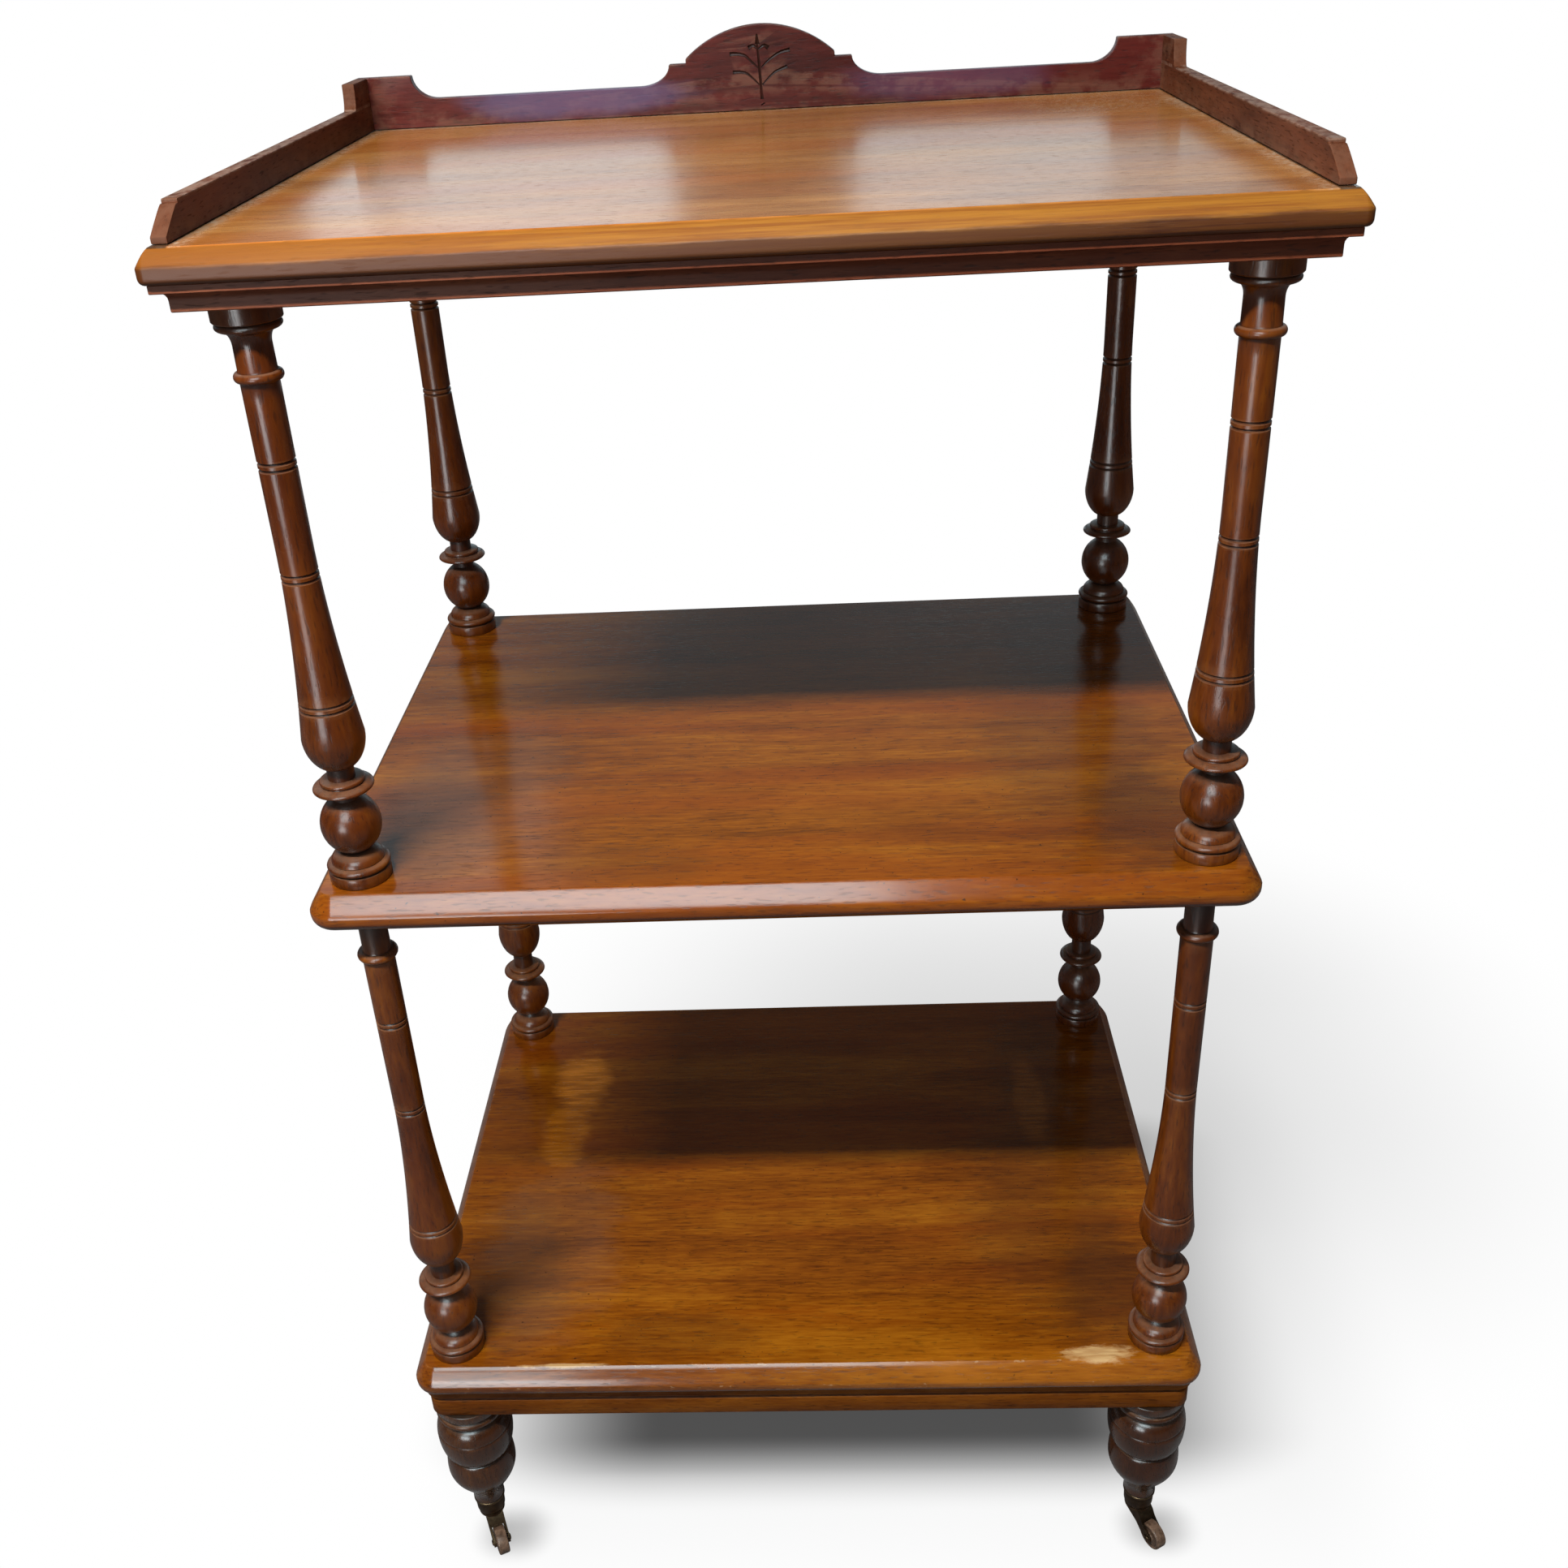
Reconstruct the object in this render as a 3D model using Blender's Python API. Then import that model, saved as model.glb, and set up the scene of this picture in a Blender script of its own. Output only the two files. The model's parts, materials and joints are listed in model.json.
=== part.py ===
"""Three-tier mahogany dumbwaiter on cup casters, in metres with +Z up.

The origin is on the floor, under the middle of the shelves. The front faces -Y.
The pieces stack on the four post lines: caster, foot, frieze, shelf, lower post,
shelf, upper post, cornice, top board and gallery. Turned pieces are spun from a
half outline, shelves are stacked rings, and moulded strips are swept.
"""
import math

import bmesh
import bpy
from mathutils import Matrix, Vector

# Driving sizes of the whole stand
POST_SPACING_X = 0.600
POST_SPACING_Y = 0.438
SEAT_GAP = 0.0003
CUT_OVERRUN = 0.004
CASTER_HEIGHT = 0.0546
FOOT_HEIGHT = 0.1380
FRIEZE_HEIGHT = 0.031
SHELF_THICKNESS = 0.028
LOWER_POST_HEIGHT = 0.450
PAD_HEIGHT = 0.0066
UPPER_POST_HEIGHT = 0.406
CORNICE_HEIGHT = 0.017
BOARD_THICKNESS = 0.020

# Edges: how far each outline stands out past the post lines
SHELF_OVERHANG = 0.036
SHELF_CORNER_RADIUS = 0.020
BOARD_OVERHANG = 0.0443
BOARD_CORNER_RADIUS = 0.006
FRIEZE_OVERHANG = 0.030
CORNICE_OVERHANG = 0.040
STRIP_REACH_INSIDE = 0.024
SMALLEST_CORNER = 0.0005

# Dowels and their holes
DOWEL_RADIUS = 0.007
DOWEL_DEPTH = 0.011
DOWEL_CLEARANCE = 0.0003

# Facets round a turned piece and along an eased curve
TURN_SIDES = 12
SMALL_PIN_SIDES = 8
WHEEL_SIDES = 16
CORNER_STEPS = 3
UNDERSIDE_STEPS = 2
STRIP_CORNER_STEPS = 2
BEAD_STEPS = 3
BALL_STEPS = 4
CURVE_STEPS = 4
COVE_STEPS = 2
MERGE_DISTANCE = 0.00001

# Where shading turns sharp: on round pieces, on flat-sided ones, and at eased edges
ROUND_ANGLE = math.radians(40)
EDGE_ANGLE = math.radians(30)
EASED_ANGLE = math.radians(60)

HALF_X = POST_SPACING_X / 2
HALF_Y = POST_SPACING_Y / 2
FEET_TOP = CASTER_HEIGHT + FOOT_HEIGHT
FRIEZE_BOTTOM = FEET_TOP + SEAT_GAP
BOTTOM_SHELF_UNDER = FRIEZE_BOTTOM + FRIEZE_HEIGHT + SEAT_GAP
BOTTOM_SHELF_TOP = BOTTOM_SHELF_UNDER + SHELF_THICKNESS
LOWER_POST_BASE = BOTTOM_SHELF_TOP + SEAT_GAP
LOWER_POST_TOP = LOWER_POST_BASE + LOWER_POST_HEIGHT
PAD_BOTTOM = LOWER_POST_TOP + SEAT_GAP
MIDDLE_SHELF_UNDER = PAD_BOTTOM + PAD_HEIGHT + SEAT_GAP
MIDDLE_SHELF_TOP = MIDDLE_SHELF_UNDER + SHELF_THICKNESS
UPPER_POST_BASE = MIDDLE_SHELF_TOP + SEAT_GAP
UPPER_POST_TOP = UPPER_POST_BASE + UPPER_POST_HEIGHT
CORNICE_BOTTOM = UPPER_POST_TOP + SEAT_GAP
BOARD_UNDER = CORNICE_BOTTOM + CORNICE_HEIGHT + SEAT_GAP
BOARD_TOP = BOARD_UNDER + BOARD_THICKNESS

CORNERS = {
    "front_left": (-1, -1),
    "front_right": (1, -1),
    "rear_left": (-1, 1),
    "rear_right": (1, 1),
}


def clear_scene():
    for obj in list(bpy.data.objects):
        bpy.data.objects.remove(obj, do_unlink=True)


def make_material(name, color, roughness, metallic=0.0):
    material = bpy.data.materials.new(name)
    material.use_nodes = True
    shader = material.node_tree.nodes["Principled BSDF"]
    shader.inputs["Base Color"].default_value = (*color, 1.0)
    shader.inputs["Roughness"].default_value = roughness
    shader.inputs["Metallic"].default_value = metallic
    material.diffuse_color = (*color, 1.0)
    return material


def add_object(name, mesh, material, smooth_angle=None):
    obj = bpy.data.objects.new(name, mesh)
    bpy.context.scene.collection.objects.link(obj)
    if material is not None and not mesh.materials:
        mesh.materials.append(material)
    if smooth_angle is not None:
        mesh.shade_smooth()
        mesh.set_sharp_from_angle(angle=smooth_angle)
    return obj


def mesh_from_bmesh(name, bm):
    bmesh.ops.recalc_face_normals(bm, faces=bm.faces[:])
    mesh = bpy.data.meshes.new(name)
    bm.to_mesh(mesh)
    bm.free()
    return mesh


def combine(obj, tool, operation, label):
    """Join another solid to an object, or cut it away."""
    modifier = obj.modifiers.new(label, "BOOLEAN")
    modifier.operation = operation
    modifier.solver = "EXACT"
    modifier.object = tool


def mark_as_cutter(obj):
    obj.hide_render = True
    obj.display_type = "WIRE"
    return obj


# Outlines of turned pieces: lists of (radius, height), read from the top down

def bead(inner, outer, top, height, steps=BEAD_STEPS):
    """A round moulding that swells from inner out to outer and back."""
    fullest = math.sin(math.pi * (steps // 2) / steps)
    points = []
    for i in range(steps + 1):
        turn = math.pi * i / steps
        swell = math.sin(turn) / fullest
        points.append((inner + (outer - inner) * swell, top - height * (1 - math.cos(turn)) / 2))
    return points


def cove(start, end, steps=COVE_STEPS):
    """A hollow quarter: it leaves start level and reaches end upright."""
    points = []
    for i in range(steps + 1):
        turn = math.pi / 2 * i / steps
        radius = start[0] + (end[0] - start[0]) * math.sin(turn)
        points.append((radius, end[1] + (start[1] - end[1]) * math.cos(turn)))
    return points


def quarter_round(start, end, steps=COVE_STEPS):
    """A full quarter: it leaves start upright and reaches end level."""
    points = []
    for i in range(steps + 1):
        turn = math.pi / 2 * i / steps
        radius = end[0] + (start[0] - end[0]) * math.cos(turn)
        points.append((radius, start[1] + (end[1] - start[1]) * math.sin(turn)))
    return points


def ogee(start, end, steps=CURVE_STEPS):
    """An S-shaped sweep that is upright at both ends."""
    points = []
    for i in range(steps + 1):
        share = (1 + math.cos(math.pi * i / steps)) / 2
        radius = end[0] + (start[0] - end[0]) * share
        points.append((radius, start[1] + (end[1] - start[1]) * i / steps))
    return points


def rod_outline(radius, top, bottom):
    """The outline of a plain round rod, for bosses, pins and drills."""
    return [(0.0, top), (radius, top), (radius, bottom), (0.0, bottom)]


def turned_mesh(name, outline, sides=TURN_SIDES, closed=False):
    """Spin an outline once round Z, closing a bored piece's outline on itself."""
    bm = bmesh.new()
    verts = [bm.verts.new((radius, 0.0, height)) for radius, height in outline]
    pairs = list(zip(verts, verts[1:]))
    if closed:
        pairs.append((verts[-1], verts[0]))
    edges = [bm.edges.new(pair) for pair in pairs]
    bmesh.ops.spin(
        bm, geom=verts + edges, cent=(0.0, 0.0, 0.0), axis=(0.0, 0.0, 1.0),
        angle=math.tau, steps=sides, use_merge=True)
    bmesh.ops.remove_doubles(bm, verts=bm.verts[:], dist=MERGE_DISTANCE)
    return mesh_from_bmesh(name, bm)


# Posts: both sorts share one family of members, each with its own sizes

LOWER_POST = {
    "height": LOWER_POST_HEIGHT,
    "neck": 0.0103,
    "ring": 0.0150,
    "ring_height": 0.0085,
    "ring_drop": 0.0325,  # drops are measured down from the post's top
    "shaft": 0.0118,
    "groove_drops": (0.0950, 0.1805),
    "low_groove": 0.148,
    "groove_width": 0.005,
    "groove_depth": 0.0010,
    "flare_drop": 0.1750,
    "bulb": 0.0218,
    "bulb_at": 0.130,
    "bulb_drop": 0.026,
    "bulb_neck": 0.0100,
    "collar": 0.0213,
    "collar_top": 0.0870,
    "collar_height": 0.0040,
    "second_collar": 0.0218,
    "second_collar_height": 0.0040,
    "collar_neck": 0.0180,
    "ball": 0.0224,
    "ball_neck": 0.0100,
    "ball_neck_height": 0.0097,
    "ball_height": 0.0436,
    "base_neck": 0.0190,
    "base_shoulder": 0.0042,
    "plinth": 0.0234,
    "plinth_ease": 0.0075,
}

UPPER_POST = {
    **LOWER_POST,
    "height": UPPER_POST_HEIGHT,
    "neck": 0.0123,
    "capital": 0.0215,
    "capital_height": 0.0160,
    "capital_step": 0.0185,
    "capital_step_height": 0.0045,
    "cove_height": 0.0120,
    "ring": 0.0153,
    "ring_drop": 0.0455,
    "shaft": 0.0122,
    "groove_drops": (0.1010, 0.1753),
    "low_groove": 0.139,
    "flare_drop": 0.1570,
    "bulb": 0.0216,
    "bulb_at": 0.1135,
    "bulb_drop": 0.0235,
    "bulb_neck": 0.0095,
    "collar_top": 0.0796,
    "collar_height": 0.0036,
    "collar": 0.0208,
    "second_collar": 0.0213,
    "second_collar_height": 0.0036,
    "collar_neck": 0.0175,
    "ball": 0.0214,
    "ball_neck": 0.0095,
    "ball_neck_height": 0.0076,
    "ball_height": 0.0416,
    "base_neck": 0.0186,
    "plinth": 0.0226,
    "plinth_ease": 0.0070,
}

# The flare's radius follows this power of the way down from where it starts
FLARE_POWER = 1.8
FLARE_STOP_SHARES = (0.55,)


def shaft_radius(post, height):
    """Radius of the plain shaft at a height: straight, then flaring to the bulb."""
    flare_from = post["height"] - post["flare_drop"]
    way = (flare_from - height) / (flare_from - post["bulb_at"])
    return post["shaft"] + (post["bulb"] - post["shaft"]) * max(way, 0.0) ** FLARE_POWER


def groove(post, height):
    """A shallow cut line round the shaft."""
    half = post["groove_width"] / 2
    above, below = height + half, height - half
    low = shaft_radius(post, height) - post["groove_depth"]
    return [(shaft_radius(post, above), above), (low, height), (shaft_radius(post, below), below)]


def post_head(post):
    """The capital where there is one, then the ring under the neck."""
    points = []
    top = post["height"]
    if "capital" in post:
        below_capital = top - post["capital_height"]
        step_end = below_capital - post["capital_step_height"]
        points += [(post["capital"], top), (post["capital"], below_capital)]
        points += cove((post["capital_step"], step_end), (post["neck"], step_end - post["cove_height"]))
    else:
        points.append((post["neck"], top))
    ring_top = top - post["ring_drop"] + post["ring_height"] / 2
    return points + bead(post["neck"], post["ring"], ring_top, post["ring_height"], COVE_STEPS)


def post_shaft(post):
    """The shaft with its cut lines, flaring into the bulb and closing under it."""
    points = []
    for drop in post["groove_drops"]:
        points += groove(post, post["height"] - drop)
    flare_from = post["height"] - post["flare_drop"]
    reach = flare_from - post["bulb_at"]
    stops = [flare_from - share * reach for share in FLARE_STOP_SHARES]
    points += [(shaft_radius(post, stop), stop) for stop in stops]
    points += groove(post, post["low_groove"])
    neck = (post["bulb_neck"], post["bulb_at"] - post["bulb_drop"])
    return points + quarter_round((post["bulb"], post["bulb_at"]), neck)


def post_base(post):
    """A thin pair of collars, the ball between its necks and the round plinth."""
    top = post["collar_top"]
    points = bead(post["bulb_neck"], post["collar"], top, post["collar_height"], COVE_STEPS)[:-1]
    top -= post["collar_height"]
    points += bead(post["collar_neck"], post["second_collar"], top, post["second_collar_height"])[:-1]
    top -= post["second_collar_height"]
    points.append((post["ball_neck"], top))
    top -= post["ball_neck_height"]
    points += bead(post["ball_neck"], post["ball"], top, post["ball_height"], BALL_STEPS)
    top -= post["ball_height"] + post["base_shoulder"]
    points += [(post["base_neck"], top), (post["plinth"], top - post["plinth_ease"]), (post["plinth"], 0.0)]
    return points


def make_posts(label, post, base_height, top_dowel, material):
    top = post["height"]
    outline = [(0.0, top + top_dowel), (DOWEL_RADIUS, top + top_dowel), (DOWEL_RADIUS, top)]
    outline += post_head(post) + post_shaft(post) + post_base(post)
    outline += [(DOWEL_RADIUS, 0.0), (DOWEL_RADIUS, -DOWEL_DEPTH), (0.0, -DOWEL_DEPTH)]
    mesh = turned_mesh(label, outline)
    for corner, (sx, sy) in CORNERS.items():
        obj = add_object(f"{label}_{corner}", mesh, material, ROUND_ANGLE)
        obj.location = (sx * HALF_X, sy * HALF_Y, base_height)


# Pads: small flared rings where the lower posts meet the middle shelf

PAD = {
    "top": 0.0140,
    "low": 0.0108,
    "foot_share": 0.25,
}


def make_pads(material):
    bore = DOWEL_RADIUS + DOWEL_CLEARANCE
    outline = [
        (bore, PAD_HEIGHT),
        (PAD["top"], PAD_HEIGHT),
        (PAD["low"], PAD_HEIGHT * PAD["foot_share"]),
        (PAD["low"], 0.0),
        (bore, 0.0),
    ]
    mesh = turned_mesh("shelf_pad", outline, closed=True)
    for corner, (sx, sy) in CORNERS.items():
        obj = add_object(f"shelf_pad_{corner}", mesh, material, ROUND_ANGLE)
        obj.location = (sx * HALF_X, sy * HALF_Y, PAD_BOTTOM)


# Feet: a turned plate, two swelling rings and a waist that enters the caster's cup

FOOT = {
    "plate": 0.0310,
    "plate_height": 0.0145,
    "plate_neck": 0.0288,
    "upper_top": 0.0200,
    "upper": 0.0336,
    "upper_height": 0.0500,
    "lower_neck": 0.0270,
    "lower": 0.0307,
    "lower_at": 0.0910,
}

CUP = {
    "rim": 0.0142,
    "foot": 0.0122,
    "height": 0.0185,
    "wall": 0.0012,
    "floor": 0.0020,
}

PIN = {
    "radius": 0.0030,
    "head": 0.0052,
    "head_height": 0.0024,
    "head_room": 0.0008,
    "clearance": 0.0003,
    "into_horn": 0.0070,
}


def cup_inside(depth):
    """Inside radius of the tapered cup at a depth below its rim."""
    return CUP["rim"] - CUP["wall"] - (CUP["rim"] - CUP["foot"]) * depth / CUP["height"]


def foot_outline():
    """The foot from its top dowel down, with its own top face at zero."""
    foot = FOOT
    dowel_top = FRIEZE_HEIGHT + 2 * SEAT_GAP + DOWEL_DEPTH
    points = rod_outline(DOWEL_RADIUS, dowel_top, 0.0)[:-1]
    points += [(foot["plate"], 0.0), (foot["plate"], -foot["plate_height"])]
    swell_top = -foot["upper_top"]
    points += bead(foot["plate_neck"], foot["upper"], swell_top, foot["upper_height"], BALL_STEPS)[:-1]
    neck = (foot["lower_neck"], swell_top - foot["upper_height"])
    fullest = (foot["lower"], -foot["lower_at"])
    points += list(reversed(quarter_round(fullest, neck)))
    points += ogee(fullest, (CUP["rim"] - CUP["wall"] / 2, -FOOT_HEIGHT))[1:]
    return points + foot_tongue()


def foot_tongue():
    """The tapered end that fills the cup, hollowed over the swivel pin's head."""
    depth = CUP["height"] - CUP["floor"] - SEAT_GAP
    end = -FOOT_HEIGHT - depth
    recess = PIN["head"] + PIN["head_room"]
    recess_top = end + PIN["head_height"] + PIN["head_room"]
    top_radius = cup_inside(0.0) - SEAT_GAP
    end_radius = cup_inside(depth) - SEAT_GAP
    points = [(top_radius, -FOOT_HEIGHT), (end_radius, end), (recess, end)]
    return points + [(recess, recess_top), (0.0, recess_top)]


def make_feet(material):
    mesh = turned_mesh("foot", foot_outline())
    for corner, (sx, sy) in CORNERS.items():
        obj = add_object(f"foot_{corner}", mesh, material, ROUND_ANGLE)
        obj.location = (sx * HALF_X, sy * HALF_Y, FEET_TOP)


# Casters: a brass cup on the foot, a horn that swivels under it, and a wheel

WHEEL = {
    "radius": 0.0127,
    "width": 0.0100,
    "edge": 0.0016,
}

AXLE = {
    "radius": 0.0018,
    "clearance": 0.0003,
    "head": 0.0030,
    "head_height": 0.0010,
}

HORN = {
    "trail": 0.0230,
    "cheek": 0.0022,
    "side_clearance": 0.0006,
    "wheel_clearance": 0.0015,
    "boss": 0.0118,
    "boss_height": 0.0028,
    "eye": 0.0046,
    "back": 0.0080,
    "front": 0.0084,
    "throat": 0.0150,
    "back_drop": 0.0085,
    "throat_drop": 0.0085,
}

# The eye's rim is rounded from its lower left, under the axle, to its upper right
EYE_FROM = math.radians(-125)
EYE_TO = math.radians(45)
EYE_STEPS = 4

# Where each caster trails when the stand has just been pushed, from +X towards +Y
CASTER_HEADINGS = {
    "front_left": math.radians(-65),
    "front_right": math.radians(-60),
    "rear_left": math.radians(-62),
    "rear_right": math.radians(-67),
}


def make_cup_mesh():
    """The cup round Z, with its rim at zero and a hole in its floor for the pin."""
    hole = PIN["radius"] + PIN["clearance"]
    inner_depth = CUP["height"] - CUP["floor"]
    outline = [
        (cup_inside(0.0), 0.0),
        (CUP["rim"], 0.0),
        (CUP["foot"], -CUP["height"]),
        (hole, -CUP["height"]),
        (hole, -inner_depth),
        (cup_inside(inner_depth), -inner_depth),
    ]
    return turned_mesh("caster_cup", outline, closed=True)


def make_pin_mesh():
    """The swivel pin, riveted over inside the cup, with the horn's top at zero."""
    shoulder = CUP["floor"] + 2 * SEAT_GAP
    outline = [
        (0.0, shoulder + PIN["head_height"]),
        (PIN["head"], shoulder + PIN["head_height"] / 2),
        (PIN["head"], shoulder),
        (PIN["radius"], shoulder),
        (PIN["radius"], -PIN["into_horn"]),
        (0.0, -PIN["into_horn"]),
    ]
    return turned_mesh("swivel_pin", outline, SMALL_PIN_SIDES)


def make_wheel_mesh():
    """A plain roller about Z with a bore and softened rims."""
    half = WHEEL["width"] / 2
    bore = AXLE["radius"] + AXLE["clearance"]
    edge = WHEEL["edge"]
    upper = [(bore, half), (WHEEL["radius"] - edge, half), (WHEEL["radius"], half - edge)]
    outline = upper + [(radius, -height) for radius, height in reversed(upper)]
    return turned_mesh("caster_wheel", outline, WHEEL_SIDES, closed=True)


def slot_half_width():
    return WHEEL["width"] / 2 + HORN["side_clearance"]


def fork_half_width():
    return slot_half_width() + HORN["cheek"]


def make_axle_mesh():
    """A plain pin about Z with a low riveted head outside each cheek."""
    seat = fork_half_width() + SEAT_GAP
    end = seat + AXLE["head_height"]
    upper = [(0.0, end), (AXLE["radius"], end), (AXLE["head"], seat), (AXLE["radius"], seat)]
    outline = upper + [(radius, -height) for radius, height in reversed(upper)]
    return turned_mesh("wheel_axle", outline, SMALL_PIN_SIDES)


def make_horn_mesh(top):
    """The horn's side outline, trailing along +X, extruded across both cheeks."""
    half = fork_half_width()
    crown = top - HORN["boss_height"] / 2
    outline = [(-HORN["back"], crown), (-HORN["back"], crown - HORN["back_drop"])]
    for i in range(EYE_STEPS + 1):
        turn = EYE_FROM + (EYE_TO - EYE_FROM) * i / EYE_STEPS
        out, up = HORN["eye"] * math.cos(turn), HORN["eye"] * math.sin(turn)
        outline.append((HORN["trail"] + out, WHEEL["radius"] + up))
    outline += [(HORN["throat"], crown - HORN["throat_drop"]), (HORN["front"], crown)]
    bm = bmesh.new()
    face = bm.faces.new([bm.verts.new((x, -half, z)) for x, z in outline])
    extruded = bmesh.ops.extrude_face_region(bm, geom=[face])
    moved = [part for part in extruded["geom"] if isinstance(part, bmesh.types.BMVert)]
    bmesh.ops.translate(bm, verts=moved, vec=Vector((0.0, 2 * half, 0.0)))
    return mesh_from_bmesh("caster_horn", bm)


def make_horn_tools(top):
    """The round boss that is added to the horn, and what is cut from it."""
    boss = turned_mesh("horn_boss", rod_outline(HORN["boss"], top, top - HORN["boss_height"]))
    slot_radius = WHEEL["radius"] + HORN["wheel_clearance"]
    slot = turned_mesh("wheel_slot", rod_outline(slot_radius, slot_half_width(), -slot_half_width()))
    hole_reach = fork_half_width() + CUT_OVERRUN
    hole_radius = AXLE["radius"] + AXLE["clearance"]
    hole = turned_mesh("axle_hole", rod_outline(hole_radius, hole_reach, -hole_reach), SMALL_PIN_SIDES)
    on_axle = Matrix.Translation((HORN["trail"], 0.0, WHEEL["radius"])) @ Matrix.Rotation(math.pi / 2, 4, "X")
    for mesh in (slot, hole):
        mesh.transform(on_axle)
    bore_radius = PIN["radius"] + PIN["clearance"]
    bore_end = top - PIN["into_horn"] - SEAT_GAP
    bore = turned_mesh("pin_bore", rod_outline(bore_radius, top + CUT_OVERRUN, bore_end), SMALL_PIN_SIDES)
    return {"UNION": [boss], "DIFFERENCE": [slot, hole, bore]}


def make_casters(metal, wheel_finish):
    rim = CASTER_HEIGHT - SEAT_GAP
    horn_top = rim - CUP["height"] - SEAT_GAP
    cup_mesh, pin_mesh = make_cup_mesh(), make_pin_mesh()
    wheel_mesh, axle_mesh = make_wheel_mesh(), make_axle_mesh()
    horn_tools = make_horn_tools(horn_top)
    for corner, (sx, sy) in CORNERS.items():
        cup = add_object(f"caster_cup_{corner}", cup_mesh, metal, ROUND_ANGLE)
        cup.location = (sx * HALF_X, sy * HALF_Y, rim)
        swivel = bpy.data.objects.new(f"swivel_axis_{corner}", None)
        bpy.context.scene.collection.objects.link(swivel)
        swivel.location = (sx * HALF_X, sy * HALF_Y, 0.0)
        swivel.rotation_euler = (0.0, 0.0, CASTER_HEADINGS[corner])
        pin = add_object(f"swivel_pin_{corner}", pin_mesh, metal, ROUND_ANGLE)
        pin.location = (0.0, 0.0, horn_top)
        horn = add_object(f"caster_horn_{corner}", make_horn_mesh(horn_top), metal, EDGE_ANGLE)
        for operation, meshes in horn_tools.items():
            for mesh in meshes:
                tool = mark_as_cutter(add_object(f"{mesh.name}_{corner}", mesh, None))
                tool.parent = swivel
                combine(horn, tool, operation, mesh.name)
        axle = add_object(f"wheel_axle_{corner}", axle_mesh, metal, ROUND_ANGLE)
        wheel = add_object(f"caster_wheel_{corner}", wheel_mesh, wheel_finish, ROUND_ANGLE)
        for obj in (axle, wheel):
            obj.location = (HORN["trail"], 0.0, WHEEL["radius"])
            obj.rotation_euler = (math.pi / 2, 0.0, 0.0)
        for obj in (pin, horn, axle, wheel):
            obj.parent = swivel


# Shelves and board: stacked rounded rectangles, each an inset and a height

SHELF_EDGE = {
    "bevel_run": 0.0100,
    "bevel_drop": 0.0150,
    "nose": 0.0030,
    "under_run": 0.0100,
}

BOARD_EDGE = {
    "bevel_run": 0.0085,
    "bevel_drop": 0.0105,
    "nose": 0.0060,
    "under_run": 0.0030,
}

# The thumb bevel swells a little past the straight line between its ends
BEVEL_SWELL = 0.0010


def ring_points(half_x, half_y, inset, corner_radius, height):
    """A rounded rectangle with its corner arcs, counter-clockwise from the right front."""
    radius = max(corner_radius - inset, SMALLEST_CORNER)
    points = []
    for quarter, (sx, sy) in enumerate(((1, -1), (1, 1), (-1, 1), (-1, -1))):
        centre_x = sx * (half_x - inset - radius)
        centre_y = sy * (half_y - inset - radius)
        for i in range(CORNER_STEPS + 1):
            turn = math.pi / 2 * (quarter - 1 + i / CORNER_STEPS)
            points.append((centre_x + radius * math.cos(turn), centre_y + radius * math.sin(turn), height))
    return points


def stacked_slab(name, levels, overhang, corner_radius, material):
    """Bridge the rings from top to bottom and close both faces."""
    bm = bmesh.new()
    rings = []
    for inset, height in levels:
        points = ring_points(HALF_X + overhang, HALF_Y + overhang, inset, corner_radius, height)
        rings.append([bm.verts.new(point) for point in points])
    for upper, lower in zip(rings, rings[1:]):
        for i in range(len(upper)):
            j = (i + 1) % len(upper)
            bm.faces.new((upper[i], upper[j], lower[j], lower[i]))
    bm.faces.new(rings[0])
    bm.faces.new(rings[-1])
    return add_object(name, mesh_from_bmesh(name, bm), material, EDGE_ANGLE)


def edge_levels(edge, top, thickness):
    """Inset and height of each ring: flat top, thumb bevel, nose, rounded underside."""
    run, drop = edge["bevel_run"], edge["bevel_drop"]
    bevel_middle = (run / 2 - BEVEL_SWELL, top - drop / 2 + BEVEL_SWELL)
    nose_end = top - drop - edge["nose"]
    levels = [(run, top), bevel_middle, (0.0, top - drop), (0.0, nose_end)]
    bottom = top - thickness
    for i in range(1, UNDERSIDE_STEPS + 1):
        turn = math.pi / 2 * i / UNDERSIDE_STEPS
        inset = edge["under_run"] * (1 - math.cos(turn))
        levels.append((inset, nose_end - (nose_end - bottom) * math.sin(turn)))
    return levels


def dowel_hole_tool(name, top, bottom):
    """Four upright drills on the post lines, as one tool."""
    single = turned_mesh(name + "_single", rod_outline(DOWEL_RADIUS + DOWEL_CLEARANCE, top, bottom))
    bm = bmesh.new()
    for sx, sy in CORNERS.values():
        start = len(bm.verts)
        bm.from_mesh(single)
        bm.verts.ensure_lookup_table()
        bmesh.ops.translate(bm, verts=bm.verts[start:], vec=Vector((sx * HALF_X, sy * HALF_Y, 0.0)))
    return mark_as_cutter(add_object(name, mesh_from_bmesh(name, bm), None))


# Moulded strips: front, rear and side lengths that meet in mitres

CORNICE = {
    "fillet": 0.0050,
    "step": 0.0040,
    "cove_run": 0.0036,
    "cove_height": 0.0050,
}

FRIEZE = {
    "fillet": 0.0060,
    "quirk": 0.0044,
    "recess": 0.0022,
    "cove_height": 0.0070,
    "corner_radius": 0.0140,
    "foot_ease": 0.0015,
}


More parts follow.
